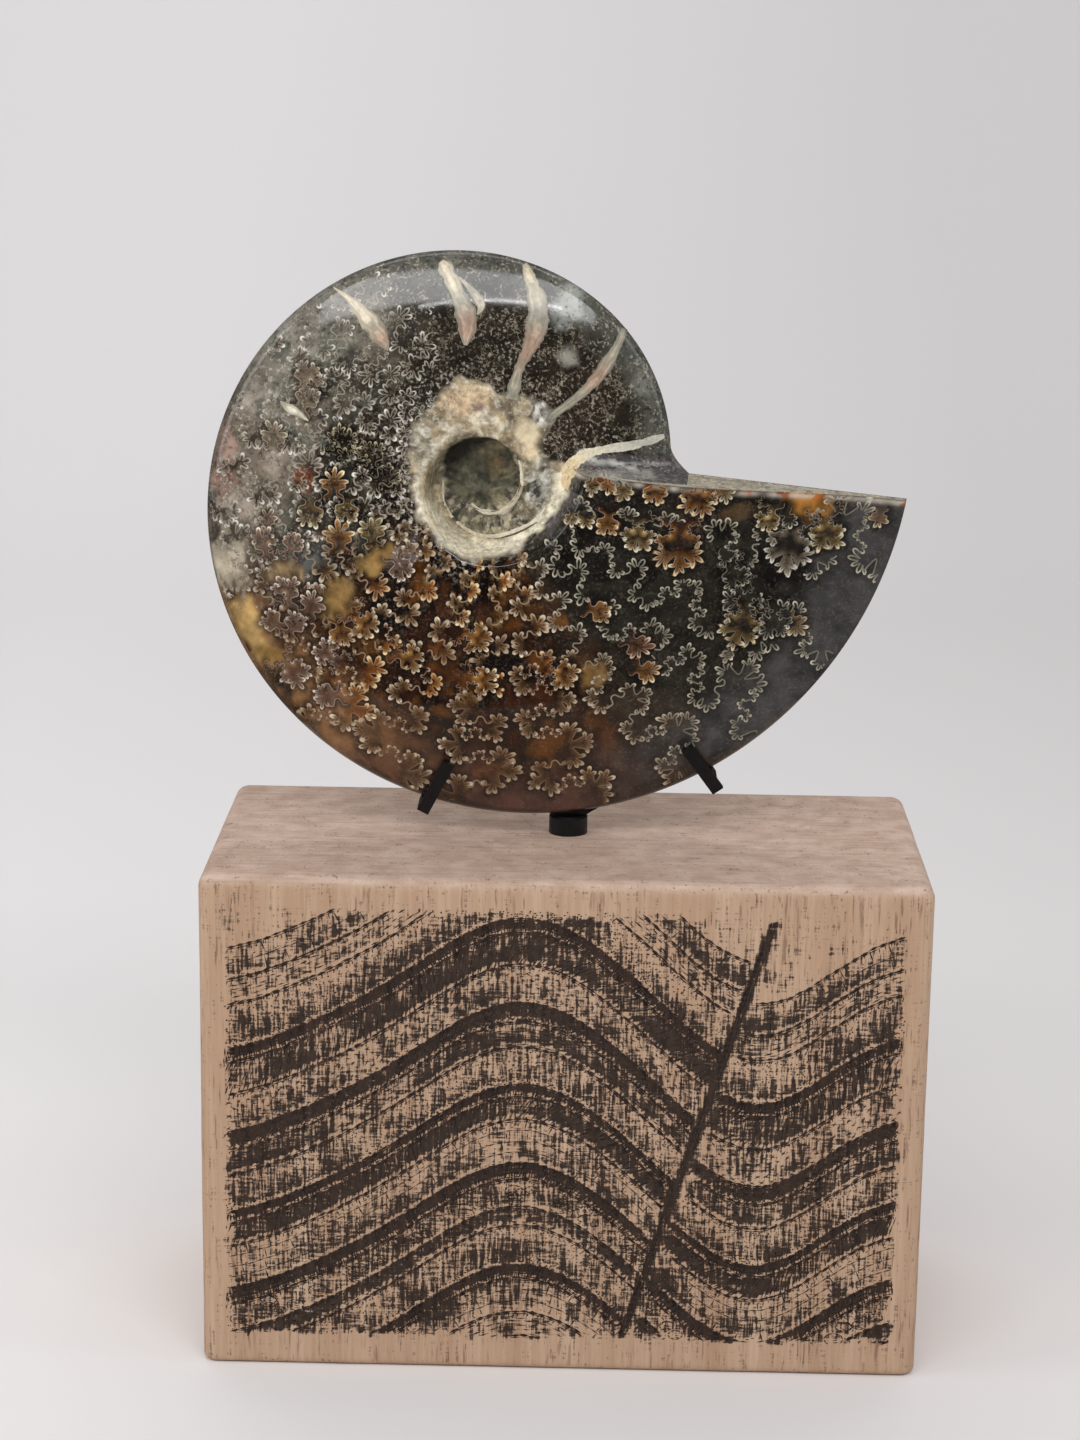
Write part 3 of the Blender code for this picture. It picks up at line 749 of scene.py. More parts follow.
class Line:
    """Control points (x, z, tip, side, glow): how much it is a tooth's tip, its head's side and glow."""

    def __init__(self, rng, side=0, glow=0.0):
        self.rng, self.side, self.glow = rng, side, glow
        self.marks = []

    def add(self, point, tip):
        """One more control point."""
        self.marks.append((*point, tip, self.side, self.glow))

    def join(self, other, count=None):
        """The first control points of another line."""
        self.marks += other.marks[:count]

    def rows(self):
        """Evenly spaced rows (x, z, tip, side, glow) along the rounded line."""
        rows = spaced(rounded(np.array(self.marks), 6), ROW_STEP)
        rows[:, 2] = np.clip(rows[:, 2], 0.0, 1.0)
        return rows

    def head(self, at, size, facing, spread, way, sharp, depth=0):
        """Frilled outline round one head, from facing - spread to facing + spread, or the other way round."""
        rng = self.rng
        teeth = int(round(1.62 * spread * size / (TOOTH * rng.uniform(0.85, 1.15)))) + 1
        if teeth > 5 and depth < 2:
            parts = 2 if teeth < 9 else 3
            share, reach = (0.50, 0.43) if parts == 2 else (0.42, 0.66)
            turns = np.linspace(-reach, reach, parts) * spread + rng.uniform(-0.12, 0.12, parts)
            for i, turned in enumerate(turns):
                part = size * share * rng.uniform(0.9, 1.15)
                angle = facing + way * turned
                self.head(polar(at, 1.03 * size - part, angle), part, angle, 1.75, way, sharp, depth + 1)
                if i < parts - 1:
                    notch = facing + way * (turned + turns[i + 1]) / 2
                    self.add(polar(at, size * rng.uniform(0.16, 0.34), notch), 0.0)
            return
        teeth = min(max(teeth, 3), 5)
        size = max(size, 0.85)
        spread = min(spread, 1.5) if teeth == 3 else spread
        step = 1.6 * spread / (teeth - 1)
        turns = np.linspace(-0.8, 0.8, teeth) * spread + rng.uniform(-0.2, 0.2, teeth) * step
        half = min(0.31 * step, 0.56 / max(size, 0.6))
        tooth = ((0.68, -1.0), (0.86, -0.85), (1.04, -0.42), (1.12, 0.05))
        tooth += ((1.00, 0.50), (0.86, 0.82), (0.68, 1.0))
        point = ((0.66, -1.1), (0.88, -0.70), (1.20, 0.0), (0.88, 0.70), (0.66, 1.1))
        for i, turned in enumerate(turns):
            far = size * rng.uniform(0.80, 1.20)
            wide = half * rng.uniform(0.72, 1.12)
            bright = rng.uniform(0.45, 1.0)
            angle = facing + way * turned
            for reach, aside in point if sharp else tooth:
                tip = bright * max(0.0, min(1.0, (reach - 0.56) * 2.3))
                self.add(polar(at, far * reach, angle + way * wide * aside), tip)
            if i < teeth - 1:
                notch = facing + way * (turned + turns[i + 1]) / 2
                self.add(polar(at, max(size - rng.uniform(1.1, 2.0), 0.30 * size), notch), 0.0)

    def wall(self, start, end, side):
        """Wiggling wall between two heads; a long one carries small heads of its own."""
        rng = self.rng
        along = np.subtract(end, start)
        length = max(math.hypot(*along), 1e-6)
        along = along / length
        aside = np.array([-along[1], along[0]])
        if length < 1.0:
            return
        big = length > 3.6
        waves = max(int(round(length / (1.9 if big else 1.1))), 1) | 1
        width = length / waves
        for i in range(waves):
            middle = np.array(start) + along * length * (i + 0.5) / waves
            if big:
                size = min(1.1, 0.5 * width) * rng.uniform(0.9, 1.2)
                facing = math.atan2(aside[1] * side, aside[0] * side) + rng.uniform(-0.25, 0.25)
                at = middle + aside * side * rng.uniform(0.05, 0.45)
                self.head(tuple(at), size, facing, 1.5, -side, False, 2)
            else:
                height = min(0.6, 0.5 * width) * side * rng.uniform(0.8, 1.25)
                for f, g in ((-0.32, 0.8), (0.0, 1.0), (0.32, 0.8)):
                    self.add(tuple(middle + along * width * f + aside * height * g), 0.4)
            side = -side


def rounded(values, steps):
    """Catmull-Rom curve through rows of values."""
    ends = np.vstack([values[:1], values, values[-1:]])
    u = (np.arange(steps) / steps)[None, :, None]
    a, b, c, d = (ends[i : len(ends) - 3 + i][:, None] for i in range(4))
    curve = 0.5 * (2 * b + (c - a) * u + (2 * a - 5 * b + 4 * c - d) * u**2 + (3 * b - a - 3 * c + d) * u**3)
    return curve.reshape(-1, values.shape[1])


def along_line(points):
    """Length of the line up to each of its points."""
    steps = np.hypot(*np.diff(points[:, :2], axis=0).T)
    return np.concatenate([[0.0], np.cumsum(steps)])


def spaced(rows, step):
    """The rows (x, z, ...) read again at even steps along the line."""
    length = along_line(rows)
    places = np.linspace(0, length[-1], max(int(length[-1] / step), 2))
    return np.stack([np.interp(places, length, rows[:, i]) for i in range(rows.shape[1])], 1)


# Width of each head along a suture, from the umbilicus out, in thousandths of its length
HEAD_SPANS = (30, 35, 39, 42, 45, 48, 51, 54, 57, 61, 66, 72, 80, 90, 98, 88, 60)


def left_of(points):
    """Unit vectors to the left of a line through these points."""
    along = np.gradient(points, axis=0)
    along = along / np.maximum(np.hypot(*along.T), 1e-9)[:, None]
    return np.stack([-along[:, 1], along[:, 0]], 1)


def suture(turn, sweep, spacing, rng, size):
    """Rows (x, z, tip, side, glow) along one suture, which sweeps round on its way to the venter."""
    share = np.linspace(0.04, 0.985, 80)
    turns = turn + sweep * share - 0.09 * np.sin(math.pi * share) + 0.05 * (share - 0.5)
    radii = mix(seam_radius(turns), venter_radius(turns), share)
    axis = np.stack([radii * np.cos(turns), radii * np.sin(turns)], 1)
    length = along_line(axis)
    forward = left_of(axis)

    def read(column, at):
        """A column of the axis, this far along it."""
        return np.interp(at, length, column)

    spans = np.array(HEAD_SPANS) * rng.uniform(0.85, 1.2, len(HEAD_SPANS)) * size * length[-1] / 1000
    count = max(int(np.searchsorted(np.cumsum(spans), length[-1])), 1)
    spans = spans[:count] * length[-1] / spans[:count].sum()
    heads, at, side = [], 0.0, rng.choice([-1, 1])
    for span in spans:
        middle = at + span / 2
        reach = 0.52 * spacing * read(radii, middle) * rng.uniform(0.66, 1.12)
        reach = min(reach, 2.7 * span)
        head = min(0.98 * span * rng.uniform(0.8, 1.12), 0.6 * reach)
        middle += rng.uniform(-0.2, 0.2) * span
        normal = np.array([read(forward[:, 0], middle), read(forward[:, 1], middle)]) * side
        root = np.array([read(axis[:, 0], middle), read(axis[:, 1], middle)])
        facing = math.atan2(normal[1], normal[0]) + rng.uniform(-0.22, 0.22)
        heads.append((tuple(root + normal * (reach - head)), head, facing, side))
        at += span
        side = -side
    outlines = []
    for at, head, facing, side in heads:
        outline = Line(rng, side, rng.uniform(0.0, 1.0))
        outline.head(at, head, facing, 2.1, -side, False)
        outlines.append(outline)
    line = Line(rng)
    for outline, ahead in zip(outlines, outlines[1:]):
        line.join(outline)
        line.wall(outline.marks[-1][:2], ahead.marks[0][:2], outline.side)
    reach = np.hypot(*np.array(outlines[-1].marks).T[:2])
    line.join(outlines[-1], int(reach.argmax()) + 1)
    return line.rows()


STEM, INSIDE, BEHIND_TIPS, OUTLINE = range(4)
TONES = {
    # colours of a leaf's stem, inside its lobes, behind their tips, and of its outline
    "amber": ((34, 14, 6), (88, 42, 15), (236, 174, 88), (254, 240, 206)),
    "gold": ((22, 13, 7), (50, 30, 14), (222, 182, 108), (250, 242, 214)),
    "rust": ((24, 9, 5), (66, 30, 15), (196, 134, 86), (246, 226, 200)),
    "violet": ((56, 38, 32), (88, 62, 50), (184, 150, 124), (252, 236, 216)),
    "white": ((26, 17, 11), (44, 28, 17), (232, 214, 176), (255, 250, 236)),
    "black": ((20, 16, 12), (20, 15, 12), (72, 58, 36), (214, 200, 164)),
    "plain": ((34, 30, 25), (36, 32, 26), (84, 76, 60), (220, 212, 190)),
    "tan": ((66, 48, 36), (98, 72, 50), (178, 148, 108), (232, 216, 184)),
    "haze": ((84, 74, 62), (104, 86, 68), (176, 156, 128), (232, 222, 204)),
}
LEAVES = (
    # middle, size in millimetres, facing in degrees and tone of the frilled heads that stand out
    (16.1, 1.4, 1.3, -95, "gold"), (18.4, 1.5, 1.1, -88, "amber"), (20.7, 0.8, 1.35, -88, "gold"),
    (25.4, 0.7, 1.9, -90, "amber"), (31.9, -0.5, 2.8, -95, "amber"), (35.9, 0.5, 1.5, -80, "gold"),
    (42.6, -4.0, 1.9, -105, "gold"), (46.0, -4.4, 1.2, -60, "plain"), (45.9, -9.0, 3.7, -98, "white"),
    (51.7, -6.9, 2.9, -80, "gold"), (36.2, -9.9, 1.1, -110, "plain"), (23.0, -6.0, 2.4, -92, "gold"),
    (18.5, -4.3, 1.7, -95, "amber"), (15.3, -3.9, 1.15, -90, "gold"), (13.2, -3.7, 1.0, -95, "gold"),
    (29.2, -8.3, 3.6, -93, "amber"), (38.9, -21.4, 3.2, -112, "gold"), (37.2, -25.6, 1.1, -115, "white"),
    (38.6, -16.9, 2.7, -150, "plain"),
    (37.9, -12.9, 2.2, -70, "plain"), (44.2, -20.9, 2.5, -92, "plain"), (47.6, -21.3, 1.7, -50, "tan"),
    (17.6, -17.7, 1.8, -15, "amber"), (23.6, -23.6, 1.9, -40, "rust"), (25.1, -27.6, 1.7, -20, "amber"),
    (12.3, -28.0, 2.4, -20, "amber"), (59.6, -4.8, 1.3, -100, "tan"),
    (-17.9, -21.0, 2.3, -45, "amber"), (-21.5, -22.9, 2.0, -85, "amber"), (-29.0, -29.6, 2.7, -45, "violet"),
    (-24.0, -25.9, 2.1, 140, "violet"), (-24.2, -33.2, 2.1, 190, "violet"), (-0.7, -22.3, 2.2, -20, "amber"),
    (0.2, -29.2, 2.3, -10, "amber"), (-10.9, -26.1, 2.2, -20, "amber"),
    (-26.8, 16.4, 2.1, 80, "haze"), (-26.8, 12.9, 1.9, 60, "haze"), (-31.9, 7.3, 1.9, 85, "haze"),
    (-21.3, 7.0, 2.3, 60, "black"), (-16.9, 5.2, 2.0, 85, "black"), (-14.6, 1.8, 1.9, 30, "black"),
    (-22.6, 0.8, 1.8, 90, "amber"), (-26.2, -4.3, 2.1, -90, "gold"), (-20.6, -3.6, 1.9, -95, "gold"),
    (-32.9, -5.4, 1.3, 90, "violet"), (-33.4, -8.9, 2.2, 110, "violet"), (-28.8, -9.0, 1.7, 70, "violet"),
    (-21.8, -7.3, 2.0, 92, "amber"), (-16.9, -6.3, 1.8, 95, "gold"), (-29.8, -16.2, 2.1, 85, "violet"),
    (-26.0, -17.9, 1.7, 70, "violet"), (-32.5, -21.4, 1.9, 150, "violet"), (-28.7, -21.5, 1.9, 60, "violet"),
    (-12.3, -12.0, 1.9, -60, "violet"),
)


def leaf(index, at, size, facing, rng):
    """Rows of one frilled leaf on its stem; its index is in the last column."""
    head = Line(rng, 1, 2.0 + index)
    head.head(at, size, facing, 1.9, -1, size > 2.7)
    line = Line(rng, 1, 2.0 + index)
    roots = [polar(at, 1.7 * size, facing + side * (math.pi - 0.36)) for side in (1, -1)]
    line.wall(roots[0], head.marks[0][:2], 1)
    line.join(head)
    line.wall(head.marks[-1][:2], roots[1], 1)
    return line.rows()


def leaf_tone(rows, part):
    """Which points belong to a leaf, and the colour of this part of it."""
    index = np.round(rows[:, 4]).astype(int) - 2
    colours = np.array([rgb(*TONES[tone][part]) for *_, tone in LEAVES])
    return index >= 0, colours[np.maximum(index, 0)]


def leaf_reach(rows, x, z):
    """Place along the leaf of each point's nearest row: 0 at the stem to 1 at the lobes."""
    index = np.maximum(np.round(rows[:, 4]).astype(int) - 2, 0)
    middle_x, middle_z, size, facing = np.array([leaf[:4] for leaf in LEAVES])[index].T
    facing = np.radians(facing)
    return rises(((x - middle_x) * np.cos(facing) + (z - middle_z) * np.sin(facing)) / size, -1.3, 0.35)


# Courses of the sutures from the umbilicus to the venter
LATE_SUTURES = ((-0.12, 1.6), (-0.40, 1.6), (-0.67, 1.525), (-0.925, 1.375))  # turn from the mouth, size
BROWN_SUTURES = ((298, 284), (284, 268), (266, 250), (244, 236), (227, 222))  # degrees at both ends
BROWN_SPACING, BROWN_SIZE = 0.28, 1.35
EARLY_START, EARLY_COUNT = 211, 10


def all_sutures():
    """Rows of all the lines: the sutures, cut out round the leaves and the clear calcite, and the leaves."""
    rng = np.random.default_rng(7)
    courses = [(TURN + turn, 0.0, SUTURE_STEP, size) for turn, size in LATE_SUTURES]
    for start, end in BROWN_SUTURES:
        courses.append((math.radians(start), math.radians(end - start), BROWN_SPACING, BROWN_SIZE))
    for k in range(EARLY_COUNT):
        courses.append((math.radians(EARLY_START) - SUTURE_STEP * k, 0.0, SUTURE_STEP, 1.0))
    lines = []
    for turn, sweep, spacing, size in courses:
        rows = suture(turn, sweep, spacing, rng, size)
        clear = away_from(LEAVES, rows, 1.25)
        for at, size, lean, *_ in PATCHES[:CLEAR_PATCHES]:
            clear &= mineral_patch(rows[:, 0], rows[:, 1], at, size, lean) < 0.4
        lines += kept_runs(rows, clear, 6)
    for k, (x, z, size, facing, _) in enumerate(LEAVES):
        rows = leaf(k, (x, z), size, math.radians(facing), rng)
        lines += kept_runs(rows, away_from(LEAVES[:k], rows, 0.95), 6)
    return lines


def away_from(leaves, rows, share):
    """True for rows outside all of these leaves, whose sizes are multiplied by share."""
    clear = np.ones(len(rows), bool)
    for x, z, size, _, _ in leaves:
        clear &= np.hypot(rows[:, 0] - x, rows[:, 1] - z) > share * size
    return clear


def kept_runs(rows, keep, least):
    """Runs of at least this many consecutive rows to keep."""
    runs = np.split(rows, np.flatnonzero(np.diff(keep)) + 1)
    return [run for run in runs[0 if keep[0] else 1 :: 2] if len(run) >= least]


def on_flank(x, z):
    """True for points of the outer whorl's front that sutures may cross."""
    turn, radius = turn_of(x, z)
    inside = (radius > seam_radius(turn) + 1.0) & (radius < venter_radius(turn) - FLANK_MARGIN)
    near_mouth = (turn > 5.0) & (over_cut_line(x, z) > -0.12)
    early = (turn < 0.35) & (radius > seam_radius(TURN))
    return inside & ~near_mouth & ~early


def ribbon(points, half, lift, sink, across, ground):
    """Closed flat strip along plane points, from lift above the ground to sink below it."""
    aside = left_of(points) * half[:, None]
    corners = []
    for raised, shares in ((lift, np.linspace(1, -1, across)), (-sink, np.linspace(-1, 1, across))):
        for share in shares:
            x, z = (points + aside * share).T
            corners.append(in_world(x, z, ground(x, z) + raised))
    around, count = 2 * across, len(points)
    verts = np.stack(corners, 1).reshape(-1, 3)
    faces = []
    for i in range(count - 1):
        a, b = around * i, around * (i + 1)
        for j in range(around):
            k = (j + 1) % around
            faces.append((a + k, a + j, b + j, b + k))
    faces.append(tuple(range(around)))
    last = around * (count - 1)
    faces.append(tuple(last + around - 1 - j for j in range(around)))
    return verts, faces


def ribbons_object(name, strips, finish, lift=0.02, sink=0.08, across=2, ground=surface_height):
    """One object of many ribbons. Each strip is (points, half widths, colours)."""
    verts, faces, colours = [], [], []
    base = 0
    for points, half, colour in strips:
        v, f = ribbon(points, half, lift, sink, across, ground)
        verts.append(v)
        faces += [tuple(base + i for i in face) for face in f]
        colours.append(np.repeat(colour, 2 * across, axis=0))
        base += len(v)
    obj = mesh_object(name, np.concatenate(verts), faces, [finish], smooth=False)
    shares = np.abs(np.linspace(-1, 1, across))
    paint(obj, tint=np.concatenate(colours), edge=np.tile(shares, base // across))
    return belongs(obj, "fossil_polished")


def region(x, z):
    """How much points belong to the brown lower half and the charcoal right end, and their direction."""
    turn, _ = turn_of(x, z)
    angle = np.degrees(turn) + 9 * fractal(x, z, 8.0, 51, 2)
    late = rises(angle, 286, 318)
    return rises(angle, 190, 222) * (1 - late), late, angle


def amber(rows):
    """How strongly each point of a suture glows amber: forward heads in the brown half."""
    brown, _, angle = region(rows[:, 0], rows[:, 1])
    turn, radius = turn_of(rows[:, 0], rows[:, 1])
    inner = 1 - rises(radius / venter_radius(turn), 0.84, 0.9)
    warm = brown * rises(angle, 205, 235) * rises(rows[:, 4], 0.1, 0.8) * inner
    return np.where((rows[:, 3] > 0) & (rows[:, 4] < 2), warm, 0.0)


def suture_strip(rows):
    """One suture's ribbon: points, half widths and colours, wider and lighter at the teeth's tips."""
    x, z, tip, _, glow = rows.T
    brown, late, angle = region(x, z)
    warm = amber(rows)
    half = 0.09 + 0.015 * late + tip**2 * (0.03 + 0.06 * (1 - late) + 0.03 * warm)
    lively = rises(value_noise(x, z, 0.9, 59), -0.8, 0.3) * mix(0.35, 1.0, rises(glow, 0.2, 0.7))
    coat = Coat(x, z, 134, 124, 108).lay((250, 244, 232), tip**1.2 * mix(0.3, 1.0, lively))
    coat.lay(Coat(x, z, 122, 116, 101).lay((206, 198, 176), tip**1.5), late)
    coat.lay(Coat(x, z, 120, 86, 60).lay((252, 236, 206), tip**1.3 * mix(0.4, 1.0, lively)), brown)
    coat.lay(Coat(x, z, 150, 104, 62).lay((252, 230, 184), tip**1.3), warm)
    in_leaf, middle = leaf_tone(rows, INSIDE)
    _, outline = leaf_tone(rows, OUTLINE)
    shown = leaf_reach(rows, x, z) * tip**1.3
    outline = mix(mix(middle, outline, 0.16), outline, shown[:, None])
    colours = np.where(in_leaf[:, None], outline, coat.colours)
    half = np.where(in_leaf, 0.06 + 0.07 * shown, half)
    return rows[:, :2], half * mix(0.8, 1.0, rises(angle, 120, 200)), colours


def glow_strips(rows):
    """Short strips just inside the teeth of the brown half and the leaves, lightest at the tips."""
    brown, _, _ = region(rows[:, 0], rows[:, 1])
    warm = amber(rows)
    in_leaf = rows[:, 4] > 1.5
    lit = np.maximum(np.maximum(warm, 0.8 * brown * (rows[:, 3] != 0)), in_leaf)
    inward = -left_of(rows[:, :2]) * rows[:, 3:4]
    strips = []
    for run in kept_runs(np.column_stack([rows, inward, warm]), (lit > 0.25) & (rows[:, 2] > 0.2), 3):
        run = run[::2] if len(run) > 7 else run
        x, z, tip = run[:, 0], run[:, 1], run[:, 2]
        orange = Coat(x, z, 130, 56, 20).lay((244, 184, 100), tip**2)
        coat = Coat(x, z, 84, 62, 40).lay((222, 198, 152), tip**2).lay(orange, run[:, 7])
        toned, middle = leaf_tone(run, INSIDE)
        _, bright = leaf_tone(run, BEHIND_TIPS)
        reach = leaf_reach(run, x, z)
        lobes = mix(middle, bright, (reach * tip**1.5)[:, None])
        colours = np.where(toned[:, None], lobes, coat.colours)
        strips.append((run[:, :2] + run[:, 5:7] * 0.23, 0.04 + mix(0.15, 0.20, toned) * tip, colours))
    return strips


def suture_pieces(lines, finish):
    """Inlaid lines of the charcoal end, those of the rest, and the glow inside their teeth."""
    early, late, glows = [], [], []
    for rows in lines:
        x, z = rows[:, 0], rows[:, 1]
        turn, _ = turn_of(x, z)
        shown = np.degrees(turn) + 14 * fractal(x, z, 4.0, 55, 3) > 116
        for run in kept_runs(rows, shown & on_flank(x, z) & (crust_share(x, z) < 0.4), 3):
            _, charcoal, _ = region(run[:, 0], run[:, 1])
            (late if charcoal.mean() > 0.5 else early).append(suture_strip(run))
            glows += glow_strips(run)
    ribbons_object("suture_lines_late", late, finish)
    ribbons_object("suture_lines_early", early, finish)
    ribbons_object("suture_amber", glows, finish, 0.01)


def nearest_rows(x, z, rows):
    """Index of the row nearest to each point."""
    tree = kdtree.KDTree(len(rows))
    for i, row in enumerate(rows):
        tree.insert((row[0], row[1], 0.0), i)
    tree.balance()
    return np.array([tree.find((a, b, 0.0))[1] for a, b in zip(x, z)])


def lay_glow(coat, lines, shown):
    """Colours inside the sutures' heads and the leaves, and a dark halo outside, on the points shown."""
    x, z = coat.x, coat.z
    rows = np.concatenate([line[::2] for line in lines])
    forward = np.concatenate([left_of(line[:, :2])[::2] for line in lines])
    nearest = nearest_rows(x, z, rows)
    near = rows[nearest]
    _, _, tip, side, glow = near.T
    away = np.stack([x, z], 1) - near[:, :2]
    distance = np.hypot(*away.T)
    ahead = np.sum(away * forward[nearest], 1) > 0
    within = np.where(ahead, side < 0, side > 0)
    inside, outside = shown & within, shown & ~within
    brown, late, angle = region(x, z)
    warm = amber(near)
    tooth = 0.15 + 0.85 * tip

    head = (side != 0) & (glow < 2)
    leafy = inside * head * rises(angle, 128, 156) * (1 - rises(angle, 196, 218))
    coat.lay((46, 35, 28), 0.85 * leafy * rises(glow, 0.25, 0.5) * bell(distance, 1.7))
    coat.lay((214, 198, 176), 0.85 * leafy * tip**2 * bell(distance, 0.6))
    halo = outside * head * rises(angle, 170, 215) * (1 - 0.5 * late)
    coat.lay((20, 10, 7), 0.9 * halo * bell(distance, 0.9))
    coat.lay((52, 20, 8), 0.9 * inside * warm * bell(distance, 2.1))
    coat.lay((136, 66, 24), 0.9 * inside * warm * (0.2 + 0.8 * tooth) * bell(distance, 1.0))
    coat.lay((226, 150, 60), inside * warm * tooth * bell(distance, 0.6))
    plain = inside * head * brown * (1 - warm)
    coat.lay((30, 16, 8), 0.65 * plain * bell(distance, 1.8))
    coat.lay((186, 146, 92), 0.85 * plain * tooth * bell(distance, 0.55))

    in_leaf, stem = leaf_tone(near, STEM)
    coat.lay((16, 9, 6), 0.8 * outside * in_leaf * bell(distance, 1.0))
    reach = leaf_reach(near, x, z)
    filled = inside * in_leaf
    coat.lay(stem, 0.9 * filled * mix(0.4, 1.0, reach) * bell(distance, 2.2))
    lobes = filled * reach * (0.3 + 0.7 * tooth)
    coat.lay(leaf_tone(near, INSIDE)[1], 0.95 * lobes * bell(distance, 0.95))
    coat.lay(leaf_tone(near, BEHIND_TIPS)[1], 0.9 * filled * reach * tooth * bell(distance, 0.6))


# Fossil body


def stone_layers(x, z, lines):
    """Values of the layers that the stone's material reads, for points of the front."""
    crust, eye = crust_share(x, z), eye_share(x, z)
    bare = np.maximum(crust, eye)
    coat = ground_coat(x, z)
    lay_glow(coat, lines, on_flank(x, z) & (crust < 0.5))
    coat.lay(crust_coat(x, z), crust)
    coat.lay(floor_coat(x, z), eye)
    turn, _ = turn_of(x, z)
    angle = np.degrees(turn) + 10 * fractal(x, z, 7.0, 23, 2)
    speckle = 0.66 - 0.16 * rises(angle, 118, 150)
    speckle = speckle - 0.36 * rises(angle, 186, 212) - 0.06 * rises(angle, 230, 260)
    block = np.maximum(*(patch(x, z, *place) for _, *place in CREAM_BLOCKS))
    beyond = np.maximum(-crust_depth(x, z), 0.0)
    salt = np.exp(-beyond / 1.5) * mix(0.35, 1.0, rises(angle, 95, 120) * (1 - rises(angle, 250, 275)))
    frills = 0.9 * patch(x, z, (-10.8, -9.0), (3.6, 2.2), 40, 11)
    in_crust = 0.4 * bare * (1 - eye) * (1 - block)
    return {
        "tint": coat.colours,
        "speckle": speckle * (1 - bare),
        "grain": bare * (1 - 0.7 * block),
        "salt": np.maximum(np.maximum(salt, frills) * (1 - bare), in_crust),
        "rough": mix(0.075, 0.62, bare),
    }


BODY_ROWS = 590  # rows of vertices round the last whorl
WALL_STEPS, COVERED_STEPS, OUTER_STEPS = 8, 18, 111  # steps across the whorl
EYE_RINGS = 9


def body_rows(turns):
    """Vertex rows of the front: {row: (turn, radii)}; rows before 0 are the band in the umbilicus."""
    wall = np.linspace(0, 1, WALL_STEPS + 1)[1:]
    covered = np.linspace(0, 1, COVERED_STEPS + 1)[1:]
    outer = np.linspace(0, 1, OUTER_STEPS + 1)[1:-1]
    rim = RIM_WIDTH * np.array([1.0, 0.72, 0.48, 0.28, 0.14, 0.06, 0.015])
    count = len(turns) - 1
    rows = {}
    for row in range(-count, count + 1):
        turn = turns[row] if row >= 0 else turns[row + count] - TURN
        if turn < BAND_START:
            continue
        inner = seam_radius(turn)
        foot = inner + WALL_SHARE * (MOUTH_RADIUS * growth_to(turn) - inner)
        radii = [mix(inner, foot, wall), mix(foot, seam_radius(turn + TURN), covered)]
        if row >= 0:
            venter = venter_radius(turn)
            radii += [mix(radii[1][-1], venter - RIM_WIDTH, outer), venter - rim]
        rows[row] = (turn, np.concatenate(radii))
    return rows, len(wall) + len(covered)


def row_turns():
    """Turns of the rows, closer together where they are far from the centre and past the speckled part."""
    place = np.arange(BODY_ROWS) / BODY_ROWS
    steps = np.exp(-GROWTH * TURN * place) * mix(1.7, 1.0, smoothstep((place - 0.16) / 0.06))
    turns = np.concatenate([[0.0], np.cumsum(steps)]) * TURN / steps.sum()
    turns[-1] = TURN
    return turns


def fossil_body(lines, stone, face):
    """The polished front with the crust, the umbilicus and the face at the mouth, as one closed mesh."""
    count = BODY_ROWS
    rows, inner = body_rows(row_turns())
    start = min(rows)
    plane, heights, index = [], [], {}
    total = 0
    for row in sorted(rows):
        turn, radii = rows[row]
        ids = []
        before = index.get(row - count)
        if before is None:
            radii = np.concatenate([[seam_radius(turn)], radii])
        else:
            ids.append(before[inner])
        turn = np.full(len(radii), turn)
        x, z = plane_point(turn, radii)
        height = front_height(turn, radii)
        if before is None:
            height[0] = FLOOR_HEIGHT
        if row >= 0:
            ex, ez = plane_point(turn[:1], venter_radius(turn[:1]))
            x, z, height = np.append(x, ex), np.append(z, ez), np.append(height, BACK_PLATE)
        ids += range(total, total + len(x))
        total += len(x)
        plane.append(np.stack([x, z], 1))
        heights.append(height)
        index[row] = ids
    faces = []
    for row in range(start, count):
        here, there = index[row], index[row + 1]
        for j in range(min(len(here), len(there)) - 1):
            faces.append((here[j], here[j + 1], there[j + 1], there[j]))
    eye = [index[row][0] for row in range(start, start + count + 1)]
    eye += index[start][inner - 1 : 0 : -1]
    plane, heights, floor = eye_floor(np.concatenate(plane), np.concatenate(heights), eye)
    faces += floor
    faces.append(index[0][inner:] + index[count][:0:-1])
    faces.append([index[row][-1] for row in range(count + 1)])
    x, z = plane[:, 0], plane[:, 1]
    obj = mesh_object("fossil_body", in_world(x, z, heights), faces, [stone, face])
    flip_to_outward(obj)
    for number in flat_faces(obj):
        obj.data.polygons[number].material_index = 1
    paint(obj, **stone_layers(x, z, lines))
    return belongs(obj, "fossil_polished", "ammonite_half")


